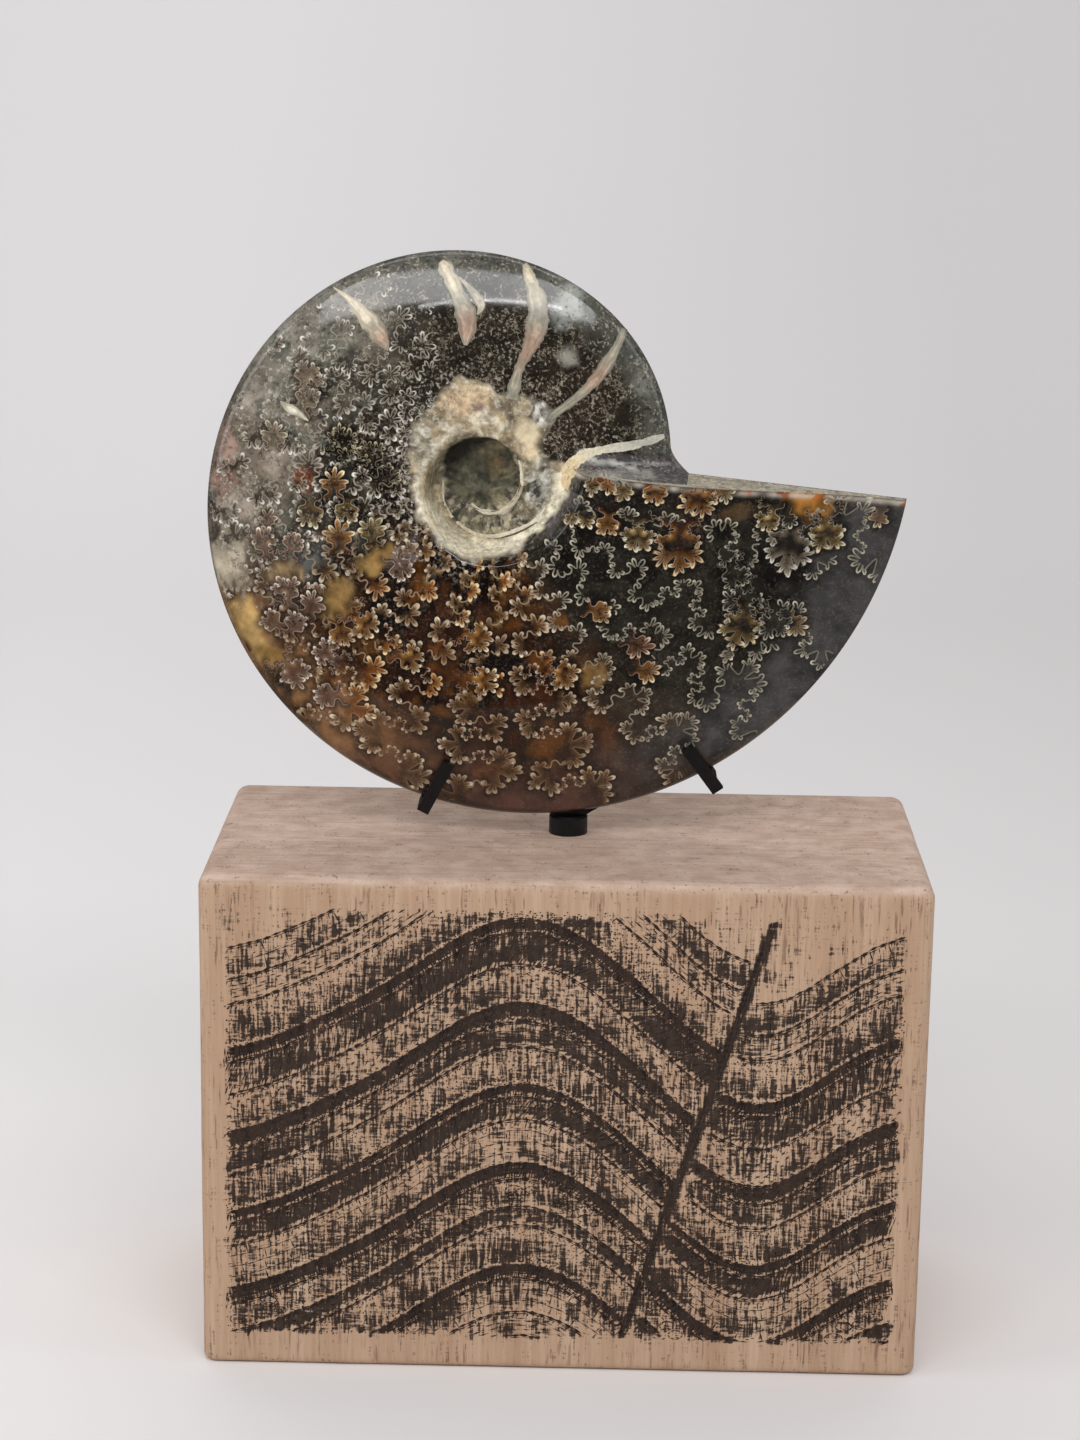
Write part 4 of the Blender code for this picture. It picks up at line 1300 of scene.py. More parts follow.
def eye_floor(plane, heights, ring):
    """The points with those of the hollow floor inside this ring of them added, and the floor's faces."""
    middle = plane[ring].mean(0)
    rim_points, rim_heights = plane[ring], heights[ring]
    faces = []
    for k in range(1, EYE_RINGS + 1):
        if k == EYE_RINGS:
            spot, low = middle[None], np.array([FLOOR_HEIGHT - 0.75])
        else:
            share = 1 - k / EYE_RINGS
            spot = middle + (rim_points - middle) * share
            low = FLOOR_HEIGHT - 0.75 * (1 - share**3) + (rim_heights - FLOOR_HEIGHT) * share**4
        low = low + 0.22 * fractal(spot[:, 0], spot[:, 1], 1.2, 97, 4)
        ids = list(range(len(plane), len(plane) + len(spot)))
        plane, heights = np.concatenate([plane, spot]), np.concatenate([heights, low])
        for a in range(len(ring)):
            b = (a + 1) % len(ring)
            if k == EYE_RINGS:
                faces.append((ring[b], ids[0], ring[a]))
            else:
                faces.append((ring[b], ids[b], ids[a], ring[a]))
        ring = ids
    return plane, heights, faces


def flip_to_outward(obj):
    """Turns all faces round if the closed mesh is inside out."""
    mesh = obj.data
    mesh.calc_loop_triangles()
    co = np.empty(len(mesh.vertices) * 3)
    mesh.vertices.foreach_get("co", co)
    co = co.reshape(-1, 3)
    tri = np.empty(len(mesh.loop_triangles) * 3, np.int32)
    mesh.loop_triangles.foreach_get("vertices", tri)
    a, b, c = (co[tri.reshape(-1, 3)[:, i]] for i in range(3))
    if np.einsum("ij,ij->i", a, np.cross(b, c)).sum() < 0:
        mesh.flip_normals()


def flat_faces(obj):
    """Make the large flat faces flat in shading and crisp at their edges, and return their numbers."""
    mesh = obj.data
    flat = [p for p in mesh.polygons if len(p.vertices) > 4]
    for polygon in flat:
        polygon.use_smooth = False
    keys = {tuple(sorted(e)) for p in flat for e in p.edge_keys}
    sharp = np.array([tuple(sorted(edge.vertices)) in keys for edge in mesh.edges])
    layer = mesh.attributes.new("sharp_edge", "BOOLEAN", "EDGE")
    layer.data.foreach_set("value", sharp)
    return [p.index for p in mesh.polygons if len(p.vertices) > 4]


# Remnants of ribs and rims of the umbilicus


def strip(points, widths, colours, step=0.22, waver=0.0):
    """Strip along a smooth line through the points, with widths and colours running along it."""
    rows = np.column_stack([points, widths, np.linspace(0, 1, len(points))])
    rows = spaced(rounded(rows, 10), step)
    half = np.maximum(rows[:, 2], 0.03)
    if waver:
        half = half * (1 + waver * fractal(rows[:, 0], rows[:, 1], 0.9, 13, 3))
        half = np.maximum(half, 0.03)
    share = rows[:, 3]
    stops = np.linspace(0, 1, len(colours))
    tint = np.stack([np.interp(share, stops, [c[i] for c in colours]) for i in range(3)], 1)
    return rows[:, :2], half, tint


CREAM, SHELL_WHITE = rgb(226, 212, 184), rgb(240, 230, 208)
GREY, PINK, PALE = rgb(172, 166, 146), rgb(186, 156, 134), rgb(180, 172, 152)
RIBS = (
    # points from the venter inwards, half widths, colours along the strip and how ragged it is
    (((-23.2, 29.0), (-20.9, 27.6), (-18.7, 25.6), (-16.7, 23.4), (-15.3, 21.5), (-14.6, 20.2)),
     (0.1, 0.5, 1.15, 1.5, 0.95, 0.05), (CREAM, CREAM, CREAM, PINK, PALE), 0.16),
    (((-7.0, 33.2), (-6.4, 32.3), (-5.4, 30.6), (-4.3, 28.4), (-3.4, 26.4), (-2.9, 24.4), (-3.0, 22.6),
      (-3.1, 21.2)),
     (0.4, 1.1, 1.1, 1.15, 1.45, 1.45, 1.0, 0.25), (CREAM, CREAM, CREAM, GREY, PINK, PINK, PALE), 0.2),
    (((-4.3, 31.0), (-2.6, 29.4), (-1.4, 27.9), (-0.9, 26.8), (-1.5, 25.6)),
     (0.1, 0.5, 0.7, 0.6, 0.1), (CREAM, GREY, CREAM, GREY), 0.3),
    (((5.4, 32.9), (6.3, 30.7), (7.5, 27.1), (7.3, 23.5), (6.2, 20.6), (5.1, 18.4), (4.4, 16.0), (3.9, 13.2)),
     (0.5, 1.0, 1.4, 1.5, 1.1, 0.8, 0.85, 1.3), (CREAM, CREAM, GREY, PINK, PINK, PALE, PALE), 0.3),
    (((20.5, 23.4), (19.3, 20.7), (17.3, 17.5), (15.1, 15.0), (12.5, 12.8), (10.4, 11.3), (9.2, 10.0)),
     (0.5, 0.75, 1.0, 0.8, 0.62, 0.6, 0.4), (GREY, PALE, PINK, PALE, GREY, rgb(140, 132, 122)), 0.2),
    (((-30.9, 12.2), (-29.6, 11.3), (-28.2, 10.7), (-26.4, 9.5)),
     (0.1, 0.7, 0.6, 0.05), (CREAM, SHELL_WHITE, CREAM), 0.3),
)
RIMS = (
    # marks (direction in degrees, radius) round the umbilicus, half widths, colours and how ragged it is
    (((236, 3.9), (255, 4.3), (272, 4.5), (300, 4.95), (330, 5.1), (358, 5.4), (384, 5.9), (400, 6.5)),
     (0.10, 0.28, 0.40, 0.34, 0.36, 0.26, 0.22, 0.08), (SHELL_WHITE, rgb(240, 228, 200)), 0.5),
    (WHITE_LINE[5:15],
     (0.1, 0.18, 0.22, 0.2, 0.24, 0.26, 0.24, 0.2, 0.2, 0.12), (rgb(226, 214, 184), SHELL_WHITE), 0.5),
    ([(angle, radius + 0.62) for angle, radius in WHITE_LINE[5:11]],
     (0.03, 0.1, 0.13, 0.13, 0.11, 0.04), (rgb(214, 200, 168), rgb(226, 210, 176)), 0.5),
    ([(angle, radius + 0.45) for angle, radius in WHITE_LINE[10:14]],
     (0.03, 0.12, 0.12, 0.04), (rgb(104, 80, 54),), 0.4),
)
RIM_TO_MOUTH = (
    # points, half widths and colours of the edge that runs on to the mouth
    ((12.0, 0.2), (12.4, 2.4), (13.6, 4.3), (15.6, 5.4), (18.8, 6.0), (22.0, 6.3), (24.8, 6.9), (27.0, 7.5)),
    (0.5, 1.0, 0.85, 0.6, 0.55, 0.6, 0.6, 0.3),
    (rgb(240, 214, 166), rgb(242, 220, 178), rgb(232, 222, 196), rgb(214, 210, 192), rgb(212, 209, 194)),
)


def remnants(finish):
    """Remnants of shell on some of the ribs."""
    strips = [strip(points, widths, colours, waver=waver) for points, widths, colours, waver in RIBS]
    return ribbons_object("rib_remnants", strips, finish, 0.03, across=6)


def umbilical_rims(finish):
    """Raised edges of the whorls round the umbilicus."""
    strips = []
    for marks, widths, colours, waver in RIMS:
        points = [polar((0, 0), radius, math.radians(angle)) for angle, radius in marks]
        strips.append(strip(points, widths, colours, 0.18, waver))
    strips.append(strip(*RIM_TO_MOUTH, waver=0.35))
    return ribbons_object("umbilical_rims", strips, finish, 0.03, across=4)


# Cut back


BACK_ROWS, BACK_STEPS = 560, 118  # rows of vertices round the cut back, and steps across it


def cut_back(finish):
    """The sawn and polished back: whorls in section, with calcite in the chambers between the septa."""
    count, across = BACK_ROWS, BACK_STEPS
    turns = np.linspace(0, TURN, count + 1)
    shares = np.linspace(0, 1, across + 1)[1:] ** 0.85
    grid = np.stack([plane_point(np.full(across, t), venter_radius(t) * shares) for t in turns])
    x, z = grid[:, 0], grid[:, 1]
    hub, edge = x.size, x.size + 1
    x = np.concatenate([x.ravel(), [0.0], x[:, -1]])
    z = np.concatenate([z.ravel(), [0.0], z[:, -1]])
    height = np.where(np.arange(len(x)) < edge, 0.0, BACK_PLATE)
    faces = []
    for i in range(count):
        a, b = i * across, (i + 1) * across
        faces.append((hub, a, b))
        faces += [(a + j, a + j + 1, b + j + 1, b + j) for j in range(across - 1)]
        faces.append((a + across - 1, edge + i, edge + i + 1, b + across - 1))
    closing, rest = closing_faces(count * across, shares)
    faces += closing
    faces.append(rest + [edge + count, edge, across - 1])
    faces.append([edge + i for i in range(count, -1, -1)])
    obj = mesh_object("cut_back", in_world(x, z, height), faces, [finish], smooth=False)
    flip_to_outward(obj)
    tint, speckle = back_colours(x, z)
    none = np.zeros(len(x))
    paint(obj, tint=tint, speckle=speckle, grain=none, salt=none, rough=none + 0.14)
    return belongs(obj, "fossil_polished")


def closing_faces(start, shares):
    """Faces that join the last row to the first along their common curve, and the rest of the last row."""
    across = len(shares)
    last = [start + j for j in range(across)]
    near, far = shares * venter_radius(0.0), shares * venter_radius(TURN)
    faces = [(across * (BACK_ROWS + 1), last[0], 0)]
    a, b = 0, 0
    while b < across - 1:
        if near[b + 1] < far[a + 1]:
            faces.append((last[a], b + 1, b))
            b += 1
        else:
            faces.append((last[a], last[a + 1], b))
            a += 1
    return faces, last[a:]


def section_place(x, z):
    """Whorl's turn angle, and share of the way out across it, for points of the cut back."""
    direction, radius = turn_of(x, z)
    outermost = np.log(np.maximum(radius, 0.3) / MOUTH_RADIUS) / GROWTH + TURN
    wraps = np.ceil((outermost - direction) / TURN - 1e-9)
    turn = direction + TURN * np.minimum(wraps, 0)
    outer = MOUTH_RADIUS * growth_to(turn)
    inner = MOUTH_RADIUS * growth_to(turn - TURN)
    return turn, (radius - inner) / (outer - inner)


def chamber_of(turn, share):
    """Chamber number as a real number: whole at each septum, which bulges forward at mid whorl."""
    return (turn - 0.16 * np.sin(math.pi * np.clip(share, 0, 1))) / SUTURE_STEP


def back_colours(x, z):
    """Colours and speckle of the cut back: each chamber in its own tone, with crystals and a dark rim."""
    turn, share = section_place(x, z)
    chamber = chamber_of(turn, share)
    number = np.floor(chamber)
    within = chamber - number
    coat = Coat(x, z, 94, 60, 34)
    coat.lay((176, 132, 78), rises(value_noise(number * 7.31, number * 0.0, 1.0, 3), -0.5, 0.5))
    coat.lay((72, 70, 60), rises(value_noise(number * 3.7, number * 0.0, 1.0, 8), 0.2, 0.5))
    crystals = rises(1 - 2 * np.abs(within - 0.5), 0.35, 0.9) * rises(1 - 2 * np.abs(share - 0.5), 0.2, 0.8)
    coat.lay((214, 186, 142), crystals * rises(fractal(x, z, 2.0, 15, 3), -0.3, 0.4) * 0.7)
    from_septum = np.minimum(within, 1 - within) * SUTURE_STEP * np.hypot(x, z)
    coat.lay((52, 30, 18), 0.6 * bell(from_septum, 0.9))
    coat.lay((120, 112, 92), 0.8 * (turn < -2.2 * TURN))
    speckle = 0.25 + 0.3 * rises(fractal(x, z, 4.0, 19, 2), 0.0, 0.5)
    return coat.colours, speckle


def cut_plane(x, z):
    """Height of the cut back, for its walls."""
    return np.zeros(len(x))


def back_walls(finish):
    """Shell wall, septa and siphuncle on the cut back."""
    strips = []

    def put(x, z, half, colour):
        """One more line, in a single colour."""
        strips.append((np.stack([x, z], 1), np.broadcast_to(half, x.shape), np.tile(colour, (len(x), 1))))

    turns = np.linspace(-3.05 * TURN, 0.0, 1100)
    radii = MOUTH_RADIUS * growth_to(turns)
    put(*plane_point(turns, radii), 0.10 + 0.16 * (radii / 28), rgb(222, 206, 176))
    rng = np.random.default_rng(5)
    shares, around = np.linspace(0.0, 1.0, 40), np.linspace(0, TURN, 13)
    for k in range(int(-2.3 * TURN / SUTURE_STEP), int((TURN - 0.1) / SUTURE_STEP)):
        turn = k * SUTURE_STEP
        turns = turn + 0.16 * np.sin(math.pi * shares)
        inner = MOUTH_RADIUS * growth_to(turns - TURN)
        outer = MOUTH_RADIUS * growth_to(turns)
        x, z = plane_point(turns, mix(inner, outer, shares))
        size = outer.mean() / 40
        inside = (turns < TURN - 0.02) & (np.hypot(x, z) < venter_radius(turns) - 0.4)
        if inside.sum() > 4:
            put(x[inside], z[inside], 0.08 + 0.10 * size, rgb(206, 184, 148))
        bead = rng.uniform(0.9, 1.1)
        radius = mix(MOUTH_RADIUS * growth_to(turn - TURN), MOUTH_RADIUS * growth_to(turn), 0.93)
        x, z = plane_point(np.array([turn]), np.array([radius]))
        if turn < TURN - 0.2:
            ring = 0.5 * size * bead
            put(x + ring * np.cos(around), z + ring * np.sin(around), 0.09, rgb(216, 200, 168))
    obj = ribbons_object("back_walls", strips, finish, lift=-0.03, sink=-0.06, ground=cut_plane)
    flip_to_outward(obj)
    return obj


# Stand


def wood_wobble(x, y, height):
    """How far the hand-sanded surface stands out from the block's true faces."""
    return 0.00006 * fractal(x * 90 + height * 37, y * 90 + height * 90, 1.0, 3, 2) - 0.00006


def wood_block(finish):
    """Block with sanded, slightly uneven rounded edges."""
    lo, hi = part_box("wood_block")
    size = hi - lo
    corner, top, foot = 0.0023, 0.0020, 0.0011  # radii of the upright, upper and lower edges
    fine, coarse = 0.0004, 0.004  # steps along the engraved front and along the other sides
    levels = []
    for a in np.linspace(0, math.pi / 2, 5):
        levels.append((foot * (1 - math.cos(a)), foot * (1 - math.sin(a))))
    for h in np.linspace(foot, size.z - top, 165)[1:-1]:
        levels.append((h, 0.0))
    for a in np.linspace(0, math.pi / 2, 8):
        levels.append((size.z - top * (1 - math.sin(a)), top * (1 - math.cos(a))))
    outline = []
    for sx, sy, start in ((1, 1, 0), (-1, 1, 90), (-1, -1, 180), (1, -1, 270)):
        cx, cy = sx * (size.x / 2 - corner), sy * (size.y / 2 - corner)
        for a in np.radians(np.linspace(start, start + 90, 8)):
            outline.append((cx, cy, math.cos(a), math.sin(a)))
    dense = []
    for i, (cx, cy, nx, ny) in enumerate(outline):
        dense.append((cx, cy, nx, ny))
        mx, my, px, py = outline[(i + 1) % len(outline)]
        gap = math.hypot(cx + nx * corner - mx - px * corner, cy + ny * corner - my - py * corner)
        parts = int(gap / (fine if ny + py < -1.99 else coarse))
        dense += [(mix(cx, mx, f), mix(cy, my, f), nx, ny) for f in np.linspace(0, 1, parts + 1)[1:-1]]
    dense = np.array(dense)
    around = len(dense)
    verts = []
    for height, inset in levels:
        x = dense[:, 0] + dense[:, 2] * (corner - inset)
        y = dense[:, 1] + dense[:, 3] * (corner - inset)
        wobble = wood_wobble(x, y, height)
        x, y = x + dense[:, 2] * wobble, y + dense[:, 3] * wobble
        z = np.full(around, lo.z + height)
        verts.append(np.stack([x, y, z], 1))
    middle = (lo + hi) / 2
    verts = np.concatenate(verts) + np.array([middle.x, middle.y, 0.0])
    faces = []
    for k in range(len(levels) - 1):
        for i in range(around):
            j = (i + 1) % around
            faces.append((k * around + i, k * around + j, (k + 1) * around + j, (k + 1) * around + i))
    faces.append(list(range(around - 1, -1, -1)))
    faces.append([(len(levels) - 1) * around + i for i in range(around)])
    obj = mesh_object("wood_block", verts, faces, [finish])
    flip_to_outward(obj)
    x, z = 1000 * (verts[:, 0] - middle.x), 1000 * (verts[:, 2] - lo.z)
    front = (verts[:, 1] < lo.y + 0.0008) & (np.abs(x) < 1000 * size.x / 2 - 2.2)
    # the sawn layer: the top and its rounded edge, which the wood's material paints paler, partly its own
    # sanded tone and partly a painted reflection
    high = smoothstep((verts[:, 2] - hi.z + 0.0017) / 0.0014)
    paint(obj, burn=np.where(front, burned_tone(x, z), 0.0), sawn=high)
    return obj


def block_piece(finish):
    """The block, with crisp flat faces at its foot and top."""
    obj = wood_block(finish)
    obj.name = "engraved_block"
    flat_faces(obj)
    return belongs(obj, "block_wood", "wood_block")


# Engraving: folded and faulted rock strata, each bed with its own hatching


def fold(x):
    """Height of the folded beds above level ones, in millimetres."""
    arch = 17.0 * np.exp(-(((x + 9.0) / 19.0) ** 2)) - 9.0 * np.exp(-(((x - 31.0) / 15.0) ** 2))
    return arch + 1.1 * np.sin(x / 6.3 + 0.6) + 0.10 * x


FAULT_X, FAULT_LEAN, FAULT_DROP = 17.0, 0.32, 6.5


def bed_level(x, level):
    """Height of a bedding line: beds right of the leaning fault have slipped down."""
    z = level + fold(x)
    return np.where(x > FAULT_X + FAULT_LEAN * (z - 30), z - FAULT_DROP, z)


BEDS = (
    # thickness in millimetres, kind of hatching, how dark its foot and its top are
    (6.0, "cross", 0.75, 0.35), (4.0, "dash", 0.3, 0.1), (5.5, "brick", 0.15, 0.35),
    (2.2, "dense", 0.95, 0.8), (6.5, "stipple", 0.5, 0.15), (3.0, "wave", 0.65, 0.5),
    (4.5, "pebble", 0.35, 0.2), (2.6, "dense", 1.0, 0.85), (7.0, "brick", 0.45, 0.1),
    (3.6, "slant", 0.8, 0.45), (2.0, "dense", 1.0, 0.9), (6.0, "stipple", 0.45, 0.15),
    (4.0, "dash", 0.7, 0.3), (3.0, "cross", 0.9, 0.65), (6.0, "wave", 0.4, 0.15),
    (5.0, "slant", 0.75, 0.35), (2.2, "dense", 1.0, 0.85), (7.0, "stipple", 0.5, 0.1),
    (4.0, "dash", 0.35, 0.15), (5.0, "brick", 0.55, 0.2),
)
BEDS_FOOT = -16.0
HATCHES = {
    # strokes of each kind: step along the bed, height of a row, length, lean in degrees, width and jitter
    "cross": ((0.62, 0.9, 1.3, 38, 0.22, 0.3), (0.74, 0.9, 1.3, -42, 0.20, 0.3)),
    "dense": ((0.42, 1.1, 1.5, 78, 0.25, 0.3), (0.8, 0.55, 1.4, 0, 0.2, 0.3)),
    "dash": ((2.1, 0.62, 1.5, 0, 0.22, 0.3),),
    "stipple": ((0.9, 0.62, 0.34, 20, 0.26, 0.5),),
    "wave": ((1.5, 0.9, 0.95, 28, 0.2, 0.1), (1.5, 0.9, 0.95, -28, 0.2, 0.1)),
    "slant": ((0.66, 1.6, 1.9, 55, 0.22, 0.3),),
    "pebble": ((1.3, 0.8, 0.3, 0, 0.22, 0.5),),
    "brick": (),
}
STROKE_LIMITS = (51.2, 5.2, 73.8)  # greatest distance from the middle, least and greatest height


def burned_tone(x, z):
    """How dark the engraving is: 0 bare wood to 1 solid, for points of the block's front in millimetres."""
    fault = FAULT_X + FAULT_LEAN * (z - 30)
    level = z - fold(x) + np.where(x > fault, FAULT_DROP, 0.0)
    tone = np.zeros_like(x)
    low = BEDS_FOOT
    for thick, _, foot, head in BEDS:
        share = (level - low) / thick
        within = (share >= 0) & (share < 1)
        tone = np.where(within, mix(foot, head, share), tone)
        tone = tone * np.where(np.abs(level - low - 0.45) < 0.3, 0.15, 1.0)
        low += thick
    tone = tone * (1 + 0.5 * fractal(x, z, 9.0, 33, 3)) + 0.35 * np.maximum(fractal(x, z, 4.0, 35, 4), 0)
    tone = np.maximum(tone, 0.95 * bell(x - fault - 0.4, 0.9))
    ragged = 1.3 * fractal(x, z, 2.0, 37, 4)
    inside = np.minimum(np.minimum(51.0 - np.abs(x), z - 4.9), 73.6 - z) + ragged
    return np.clip(1.25 * tone + 0.08, 0, 1) * smoothstep(inside / 1.2)


class Engraving:
    """Thin tapered strokes on the block's front, in millimetres across and up."""

    def __init__(self):
        self.rng = np.random.default_rng(21)
        self.starts, self.ends, self.widths = [], [], []

    def stroke(self, x0, z0, x1, z1, width):
        """Strokes from the first points to the second ones, where they are inside the limits."""
        aside, low, high = STROKE_LIMITS
        keep = (np.maximum(np.abs(x0), np.abs(x1)) < aside) & (np.minimum(z0, z1) > low)
        keep &= np.maximum(z0, z1) < high
        self.starts.append(np.stack([x0, z0], -1)[keep])
        self.ends.append(np.stack([x1, z1], -1)[keep])
        self.widths.append(np.broadcast_to(width, keep.shape)[keep])

    def hatch(self, low, high, step, rows, length, lean, width, jitter=0.3):
        """Rows of strokes between two bedding lines; lean is their angle to the bed in degrees."""
        rng = self.rng
        x = np.arange(-52, 52, step)
        for row in range(rows):
            share = (row + 0.5) / rows
            xs = x + step * (0.5 * (row % 2)) + rng.uniform(-jitter, jitter, len(x)) * step
            at = mix(bed_level(xs, low), bed_level(xs, high), share)
            at = at + rng.uniform(-jitter, jitter, len(x)) * (high - low) / rows
            slope = np.clip((bed_level(xs + 0.5, low) - bed_level(xs - 0.5, low)), -1.5, 1.5)
            angle = np.arctan(slope) + math.radians(lean) + rng.uniform(-0.12, 0.12, len(x))
            half = length / 2 * rng.uniform(0.6, 1.3, len(x))
            dx, dz = np.cos(angle) * half, np.sin(angle) * half
            self.stroke(xs - dx, at - dz, xs + dx, at + dz, width * rng.uniform(0.7, 1.25, len(x)))

    def line(self, level, width):
        """One bedding line, broken at the fault."""
        x = np.arange(-52, 52, 1.35)
        here, there = bed_level(x, level), bed_level(x + 1.5, level)
        whole = np.abs(there - here) < 3.0
        lift = self.rng.uniform(-0.08, 0.08, len(x))
        self.stroke(x[whole], (here + lift)[whole], (x + 1.5)[whole], (there + lift)[whole], width)

    def bricks(self, low, thick):
        """Courses of bricks: a line under each course, upright joints and short marks."""
        rows = int(thick / 1.7)
        for row in range(rows):
            bottom = low + thick * row / rows
            self.line(bottom, 0.2)
            self.hatch(bottom, bottom + thick / rows, 3.6, 1, thick / rows * 0.9, 88, 0.22, 0.12)
            self.hatch(bottom, bottom + 0.5 * thick / rows, 1.3, 1, 0.6, 2, 0.15)

    def pebbles(self, low, high, size, count):
        """Flat pebbles with an outline and three marks each."""
        rng = self.rng
        xs = rng.uniform(-50, 50, count)
        at = mix(bed_level(xs, low), bed_level(xs, high), rng.uniform(0.2, 0.8, count))
        radius = size * rng.uniform(0.5, 1.2, count)
        outline = [(xs + 1.5 * radius * np.cos(a), at + radius * np.sin(a)) for a in np.linspace(0, TURN, 9)]
        for here, there in zip(outline, outline[1:]):
            self.stroke(*here, *there, 0.24)
        for k in range(3):
            drop = radius * (0.55 - 0.4 * k) * -1
            half = radius * (0.75 - 0.2 * k)
            self.stroke(xs - half * 0.2, at + drop, xs + half * 1.2, at + drop, 0.16)

    def build(self, finish):
        """All the strokes as one object of flat diamonds that stand a little out of the block's front."""
        lo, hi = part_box("wood_block")
        start, end, width = (np.concatenate(part) for part in (self.starts, self.ends, self.widths))
        along = end - start
        along /= np.maximum(np.hypot(*along.T), 1e-6)[:, None]
        aside = np.stack([-along[:, 1], along[:, 0]], 1) * width[:, None] / 2
        middle = (start + end) / 2
        ring = np.stack([start, middle - aside, end, middle + aside], 1).reshape(-1, 2) / 1000
        x, height = ring[:, 0] + (lo.x + hi.x) / 2, ring[:, 1]
        front = lo.y - wood_wobble(ring[:, 0], np.full(len(x), -(hi.y - lo.y) / 2), height)
        z = lo.z + height
        verts = np.concatenate([np.stack([x, front - 0.00002, z], 1), np.stack([x, front + 0.00008, z], 1)])
        faces, count = [], len(x)
        for i in range(0, count, 4):
            faces.append((i, i + 1, i + 2, i + 3))
            faces.append((count + i + 3, count + i + 2, count + i + 1, count + i))
            for j in range(4):
                k = (j + 1) % 4
                faces.append((i + k, i + j, count + i + j, count + i + k))
        obj = mesh_object("engraving", verts, faces, [finish], smooth=False)
        flip_to_outward(obj)
        return belongs(obj, "block_wood")


def engraved_strata(finish):
    """Bedding lines, hatching and fault of the engraving."""
    work = Engraving()
    low = BEDS_FOOT
    for thick, kind, _, _ in BEDS:
        high = low + thick
        work.line(high, 0.42)
        work.line(high - 0.30, 0.22)
        work.hatch(high - 0.9, high - 0.2, 0.75, 1, 0.7, 68, 0.20)
        if kind == "brick":
            work.bricks(low, thick)
        if kind == "pebble":
            work.pebbles(low, high, 0.85, int(thick * 22))
        for step, row, *look in HATCHES[kind]:
            work.hatch(low, high, step, max(int(thick / row), 1), *look)
        if kind == "stipple":
            work.hatch(low, low + 1.6, 0.7, 3, 0.4, -10, 0.26, 0.5)
        low = high
    heights = np.arange(6, 72.5, 0.9)
    for k, aside in enumerate((0.0, 0.35, 0.8)):
        x = FAULT_X + FAULT_LEAN * (heights - 30) + aside + work.rng.uniform(-0.1, 0.1, len(heights))
        work.stroke(x, heights, x + FAULT_LEAN * 1.1, heights + 1.1, 0.42 - 0.12 * k)
    return work.build(finish)


def bracket(finish):
    """Paint and slightly rounded edges on the CAD's own bars of the bracket."""
    for name in ("post", "yoke", "back_rest", "claw_left", "claw_right"):
        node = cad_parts[name]
        node.data.materials.clear()
        node.data.materials.append(finish)
        rounding = node.modifiers.new("Rounding", "BEVEL")
        rounding.width = 0.00018
        rounding.segments = 2
        rounding.limit_method = "ANGLE"
        rounding.angle_limit = math.radians(40)


# Studio


def camera():
    """Camera where the photograph was taken, looking a little down."""
    data = bpy.data.cameras.new("camera")
    data.sensor_fit = "VERTICAL"
    data.sensor_height = 36.0
    data.lens = 78.0
    data.clip_end = 20.0
    obj = bpy.data.objects.new("camera", data)
    bpy.context.scene.collection.objects.link(obj)
    yaw, pitch, roll = (math.radians(a) for a in (-0.91, 13.72, 0.82))
    level = Matrix(((1, 0, 0), (0, 0, -1), (0, 1, 0)))
    turned = level @ Matrix.Rotation(yaw, 3, "Z")
    right, down, ahead = Matrix.Rotation(roll, 3, "Z") @ Matrix.Rotation(pitch, 3, "X") @ turned
    world = Matrix((right, -down, -ahead)).transposed().to_4x4()
    block_lo, block_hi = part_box("wood_block")
    scale = (block_hi.x - block_lo.x) / 0.110
    world.translation = Vector((0.00283, -0.44387, 0.21150)) * scale + Vector((0, block_lo.y, 0))
    obj.matrix_world = world
    bpy.context.scene.camera = obj


def backdrop():
    """Floor that sweeps up into a backdrop, with painted shade that darkens it from left to right."""
    profile = [(-1.6, 0.0), (0.55, 0.0)]
    for a in np.linspace(0, math.pi / 2, 16)[1:]:
        profile.append((0.55 + 0.5 * math.sin(a), 0.5 - 0.5 * math.cos(a)))
    profile.append((1.05, 2.4))
    verts = [(x, y, z - 0.0001) for y, z in profile for x in (-2.2, 2.2)]
    faces = [(2 * i, 2 * i + 1, 2 * i + 3, 2 * i + 2) for i in range(len(profile) - 1)]
    s = Shader("paper")
    place = s.add("ShaderNodeSeparateXYZ", {0: s.add("ShaderNodeTexCoord").outputs["Object"]}).outputs[0]
    cloud = s.math("MULTIPLY", s.range(s.noise(3.0, 2.0), 0.3, 0.7), 0.08)
    # painted shade: the paper is brightest on the left and darkest on the right, as the lamps light it, with
    # a faint cloud
    tone = s.math("ADD", s.range(place, -0.16, 0.16), cloud)
    pale = s.mix(tone, (0.97, 0.945, 0.93), (0.83, 0.80, 0.79))
    glossy = s.add("ShaderNodeLightPath").outputs["Is Glossy Ray"]
    made = s.set(base_color=s.mix(glossy, pale, (0.09, 0.09, 0.09)), roughness=0.95)
    obj = mesh_object("backdrop", np.array(verts), faces, [made])


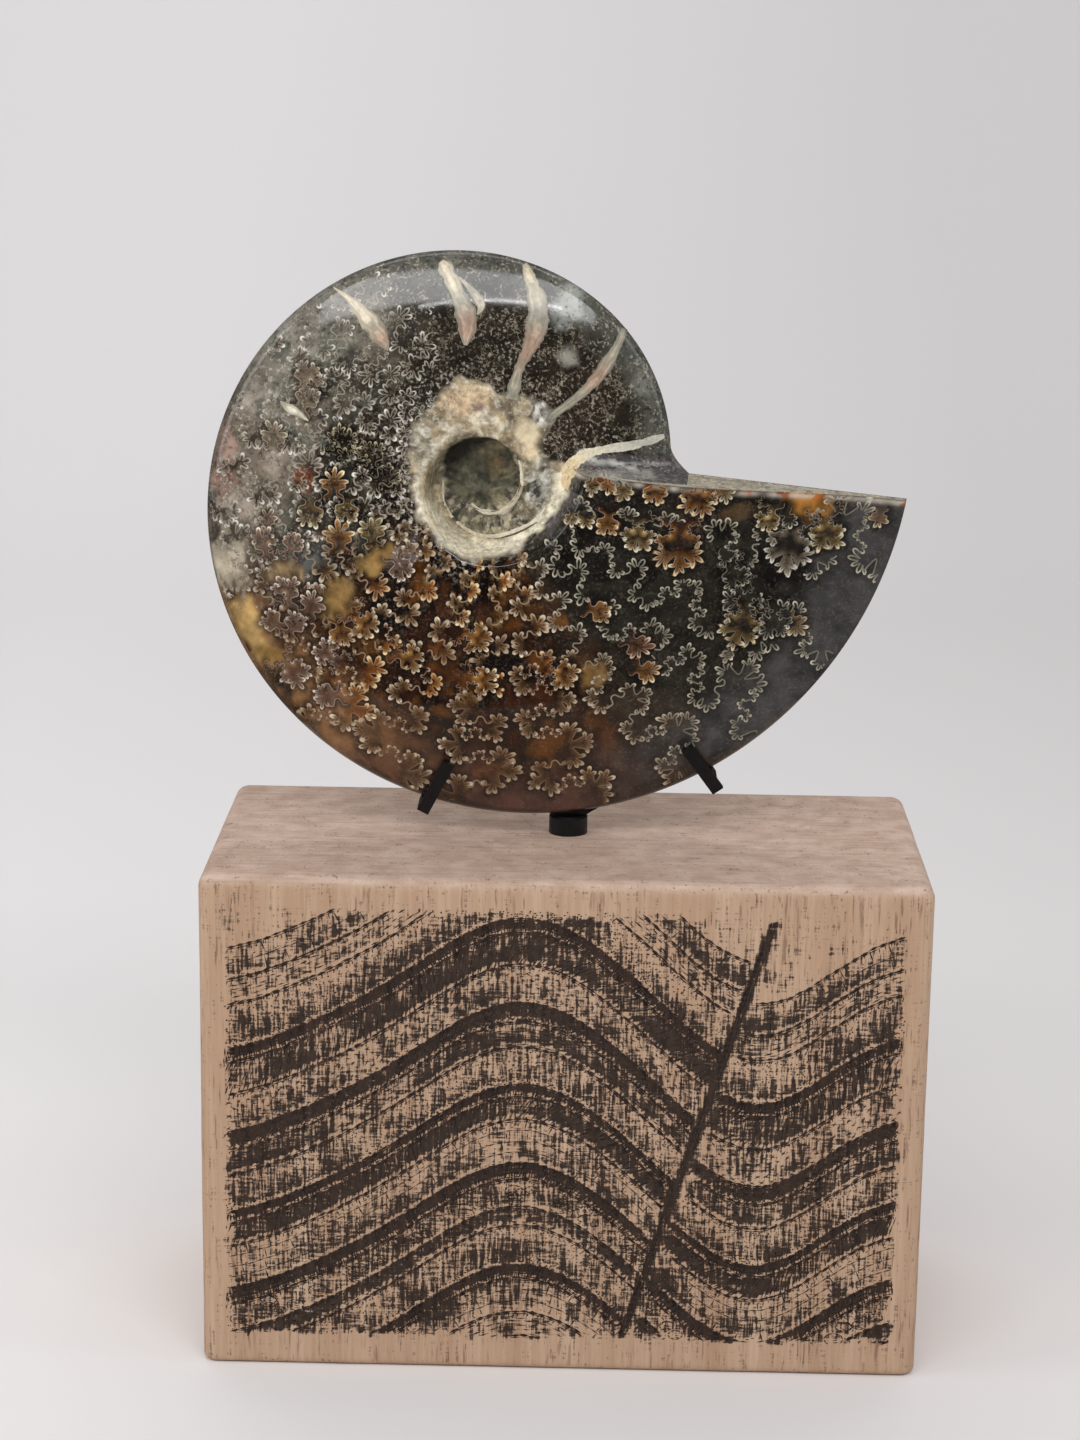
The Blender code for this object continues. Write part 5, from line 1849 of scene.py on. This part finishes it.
LIGHTS = (
    # name, place, the point it faces, width and height, and power
    ("strip", (-0.02, -0.671, 0.789), (0, 0, 0.13), (1.30, 0.18), 3.95),
    ("strip_edge", (0.10, -0.730, 0.730), (0, 0, 0.13), (0.60, 0.010), 0.5),
    ("left_wall", (-1.10, -0.30, 0.50), (0, 0, 0.1), (0.5, 0.8), 2.6),
    ("right_wall", (1.10, -0.10, 0.60), (0, 0, 0.1), (0.5, 0.8), 1.5),
    ("behind", (0.0, 0.55, 1.30), (0.0, 0.0, 0.1), (1.2, 0.4), 2.0),
)


def light(name, at, toward, size, power):
    """One white rectangular lamp."""
    data = bpy.data.lights.new(name, "AREA")
    data.shape = "RECTANGLE"
    data.size, data.size_y = size
    data.energy = power
    obj = bpy.data.objects.new(name, data)
    obj.location = at
    obj.rotation_mode = "QUATERNION"
    obj.rotation_quaternion = (Vector(toward) - Vector(at)).to_track_quat("-Z", "Y")
    bpy.context.scene.collection.objects.link(obj)


def room():
    """Grey light from all round, darker in reflections."""
    world = bpy.data.worlds.new("world")
    world.use_nodes = True
    tree = world.node_tree
    path = tree.nodes.new("ShaderNodeLightPath")
    tint = tree.nodes.new("ShaderNodeMix")
    tint.data_type = "RGBA"
    tint.inputs[6].default_value = (0.42, 0.43, 0.45, 1.0)
    tint.inputs[7].default_value = (0.05, 0.05, 0.053, 1.0)
    tree.links.new(path.outputs["Is Glossy Ray"], tint.inputs[0])
    tree.links.new(tint.outputs[2], tree.nodes["Background"].inputs["Color"])
    bpy.context.scene.world = world


def studio():
    """Camera, backdrop, lamps and room."""
    camera()
    backdrop()
    for lamp in LIGHTS:
        light(*lamp)
    room()
    bpy.context.scene.view_settings.view_transform = "Standard"


def main():
    """Build everything."""
    stone, face = polished_stone(), cut_stone()
    calcite = inlay("calcite", 0.14)
    shell = rib_shell()
    lines = all_sutures()
    fossil_body(lines, stone, face)
    suture_pieces(lines, calcite)
    remnants(shell)
    umbilical_rims(inlay("umbilical_shell", 0.5))
    cut_back(stone)
    back_walls(calcite)
    block_piece(sanded_wood())
    engraved_strata(burned_wood())
    bracket(black_paint())
    studio()


main()
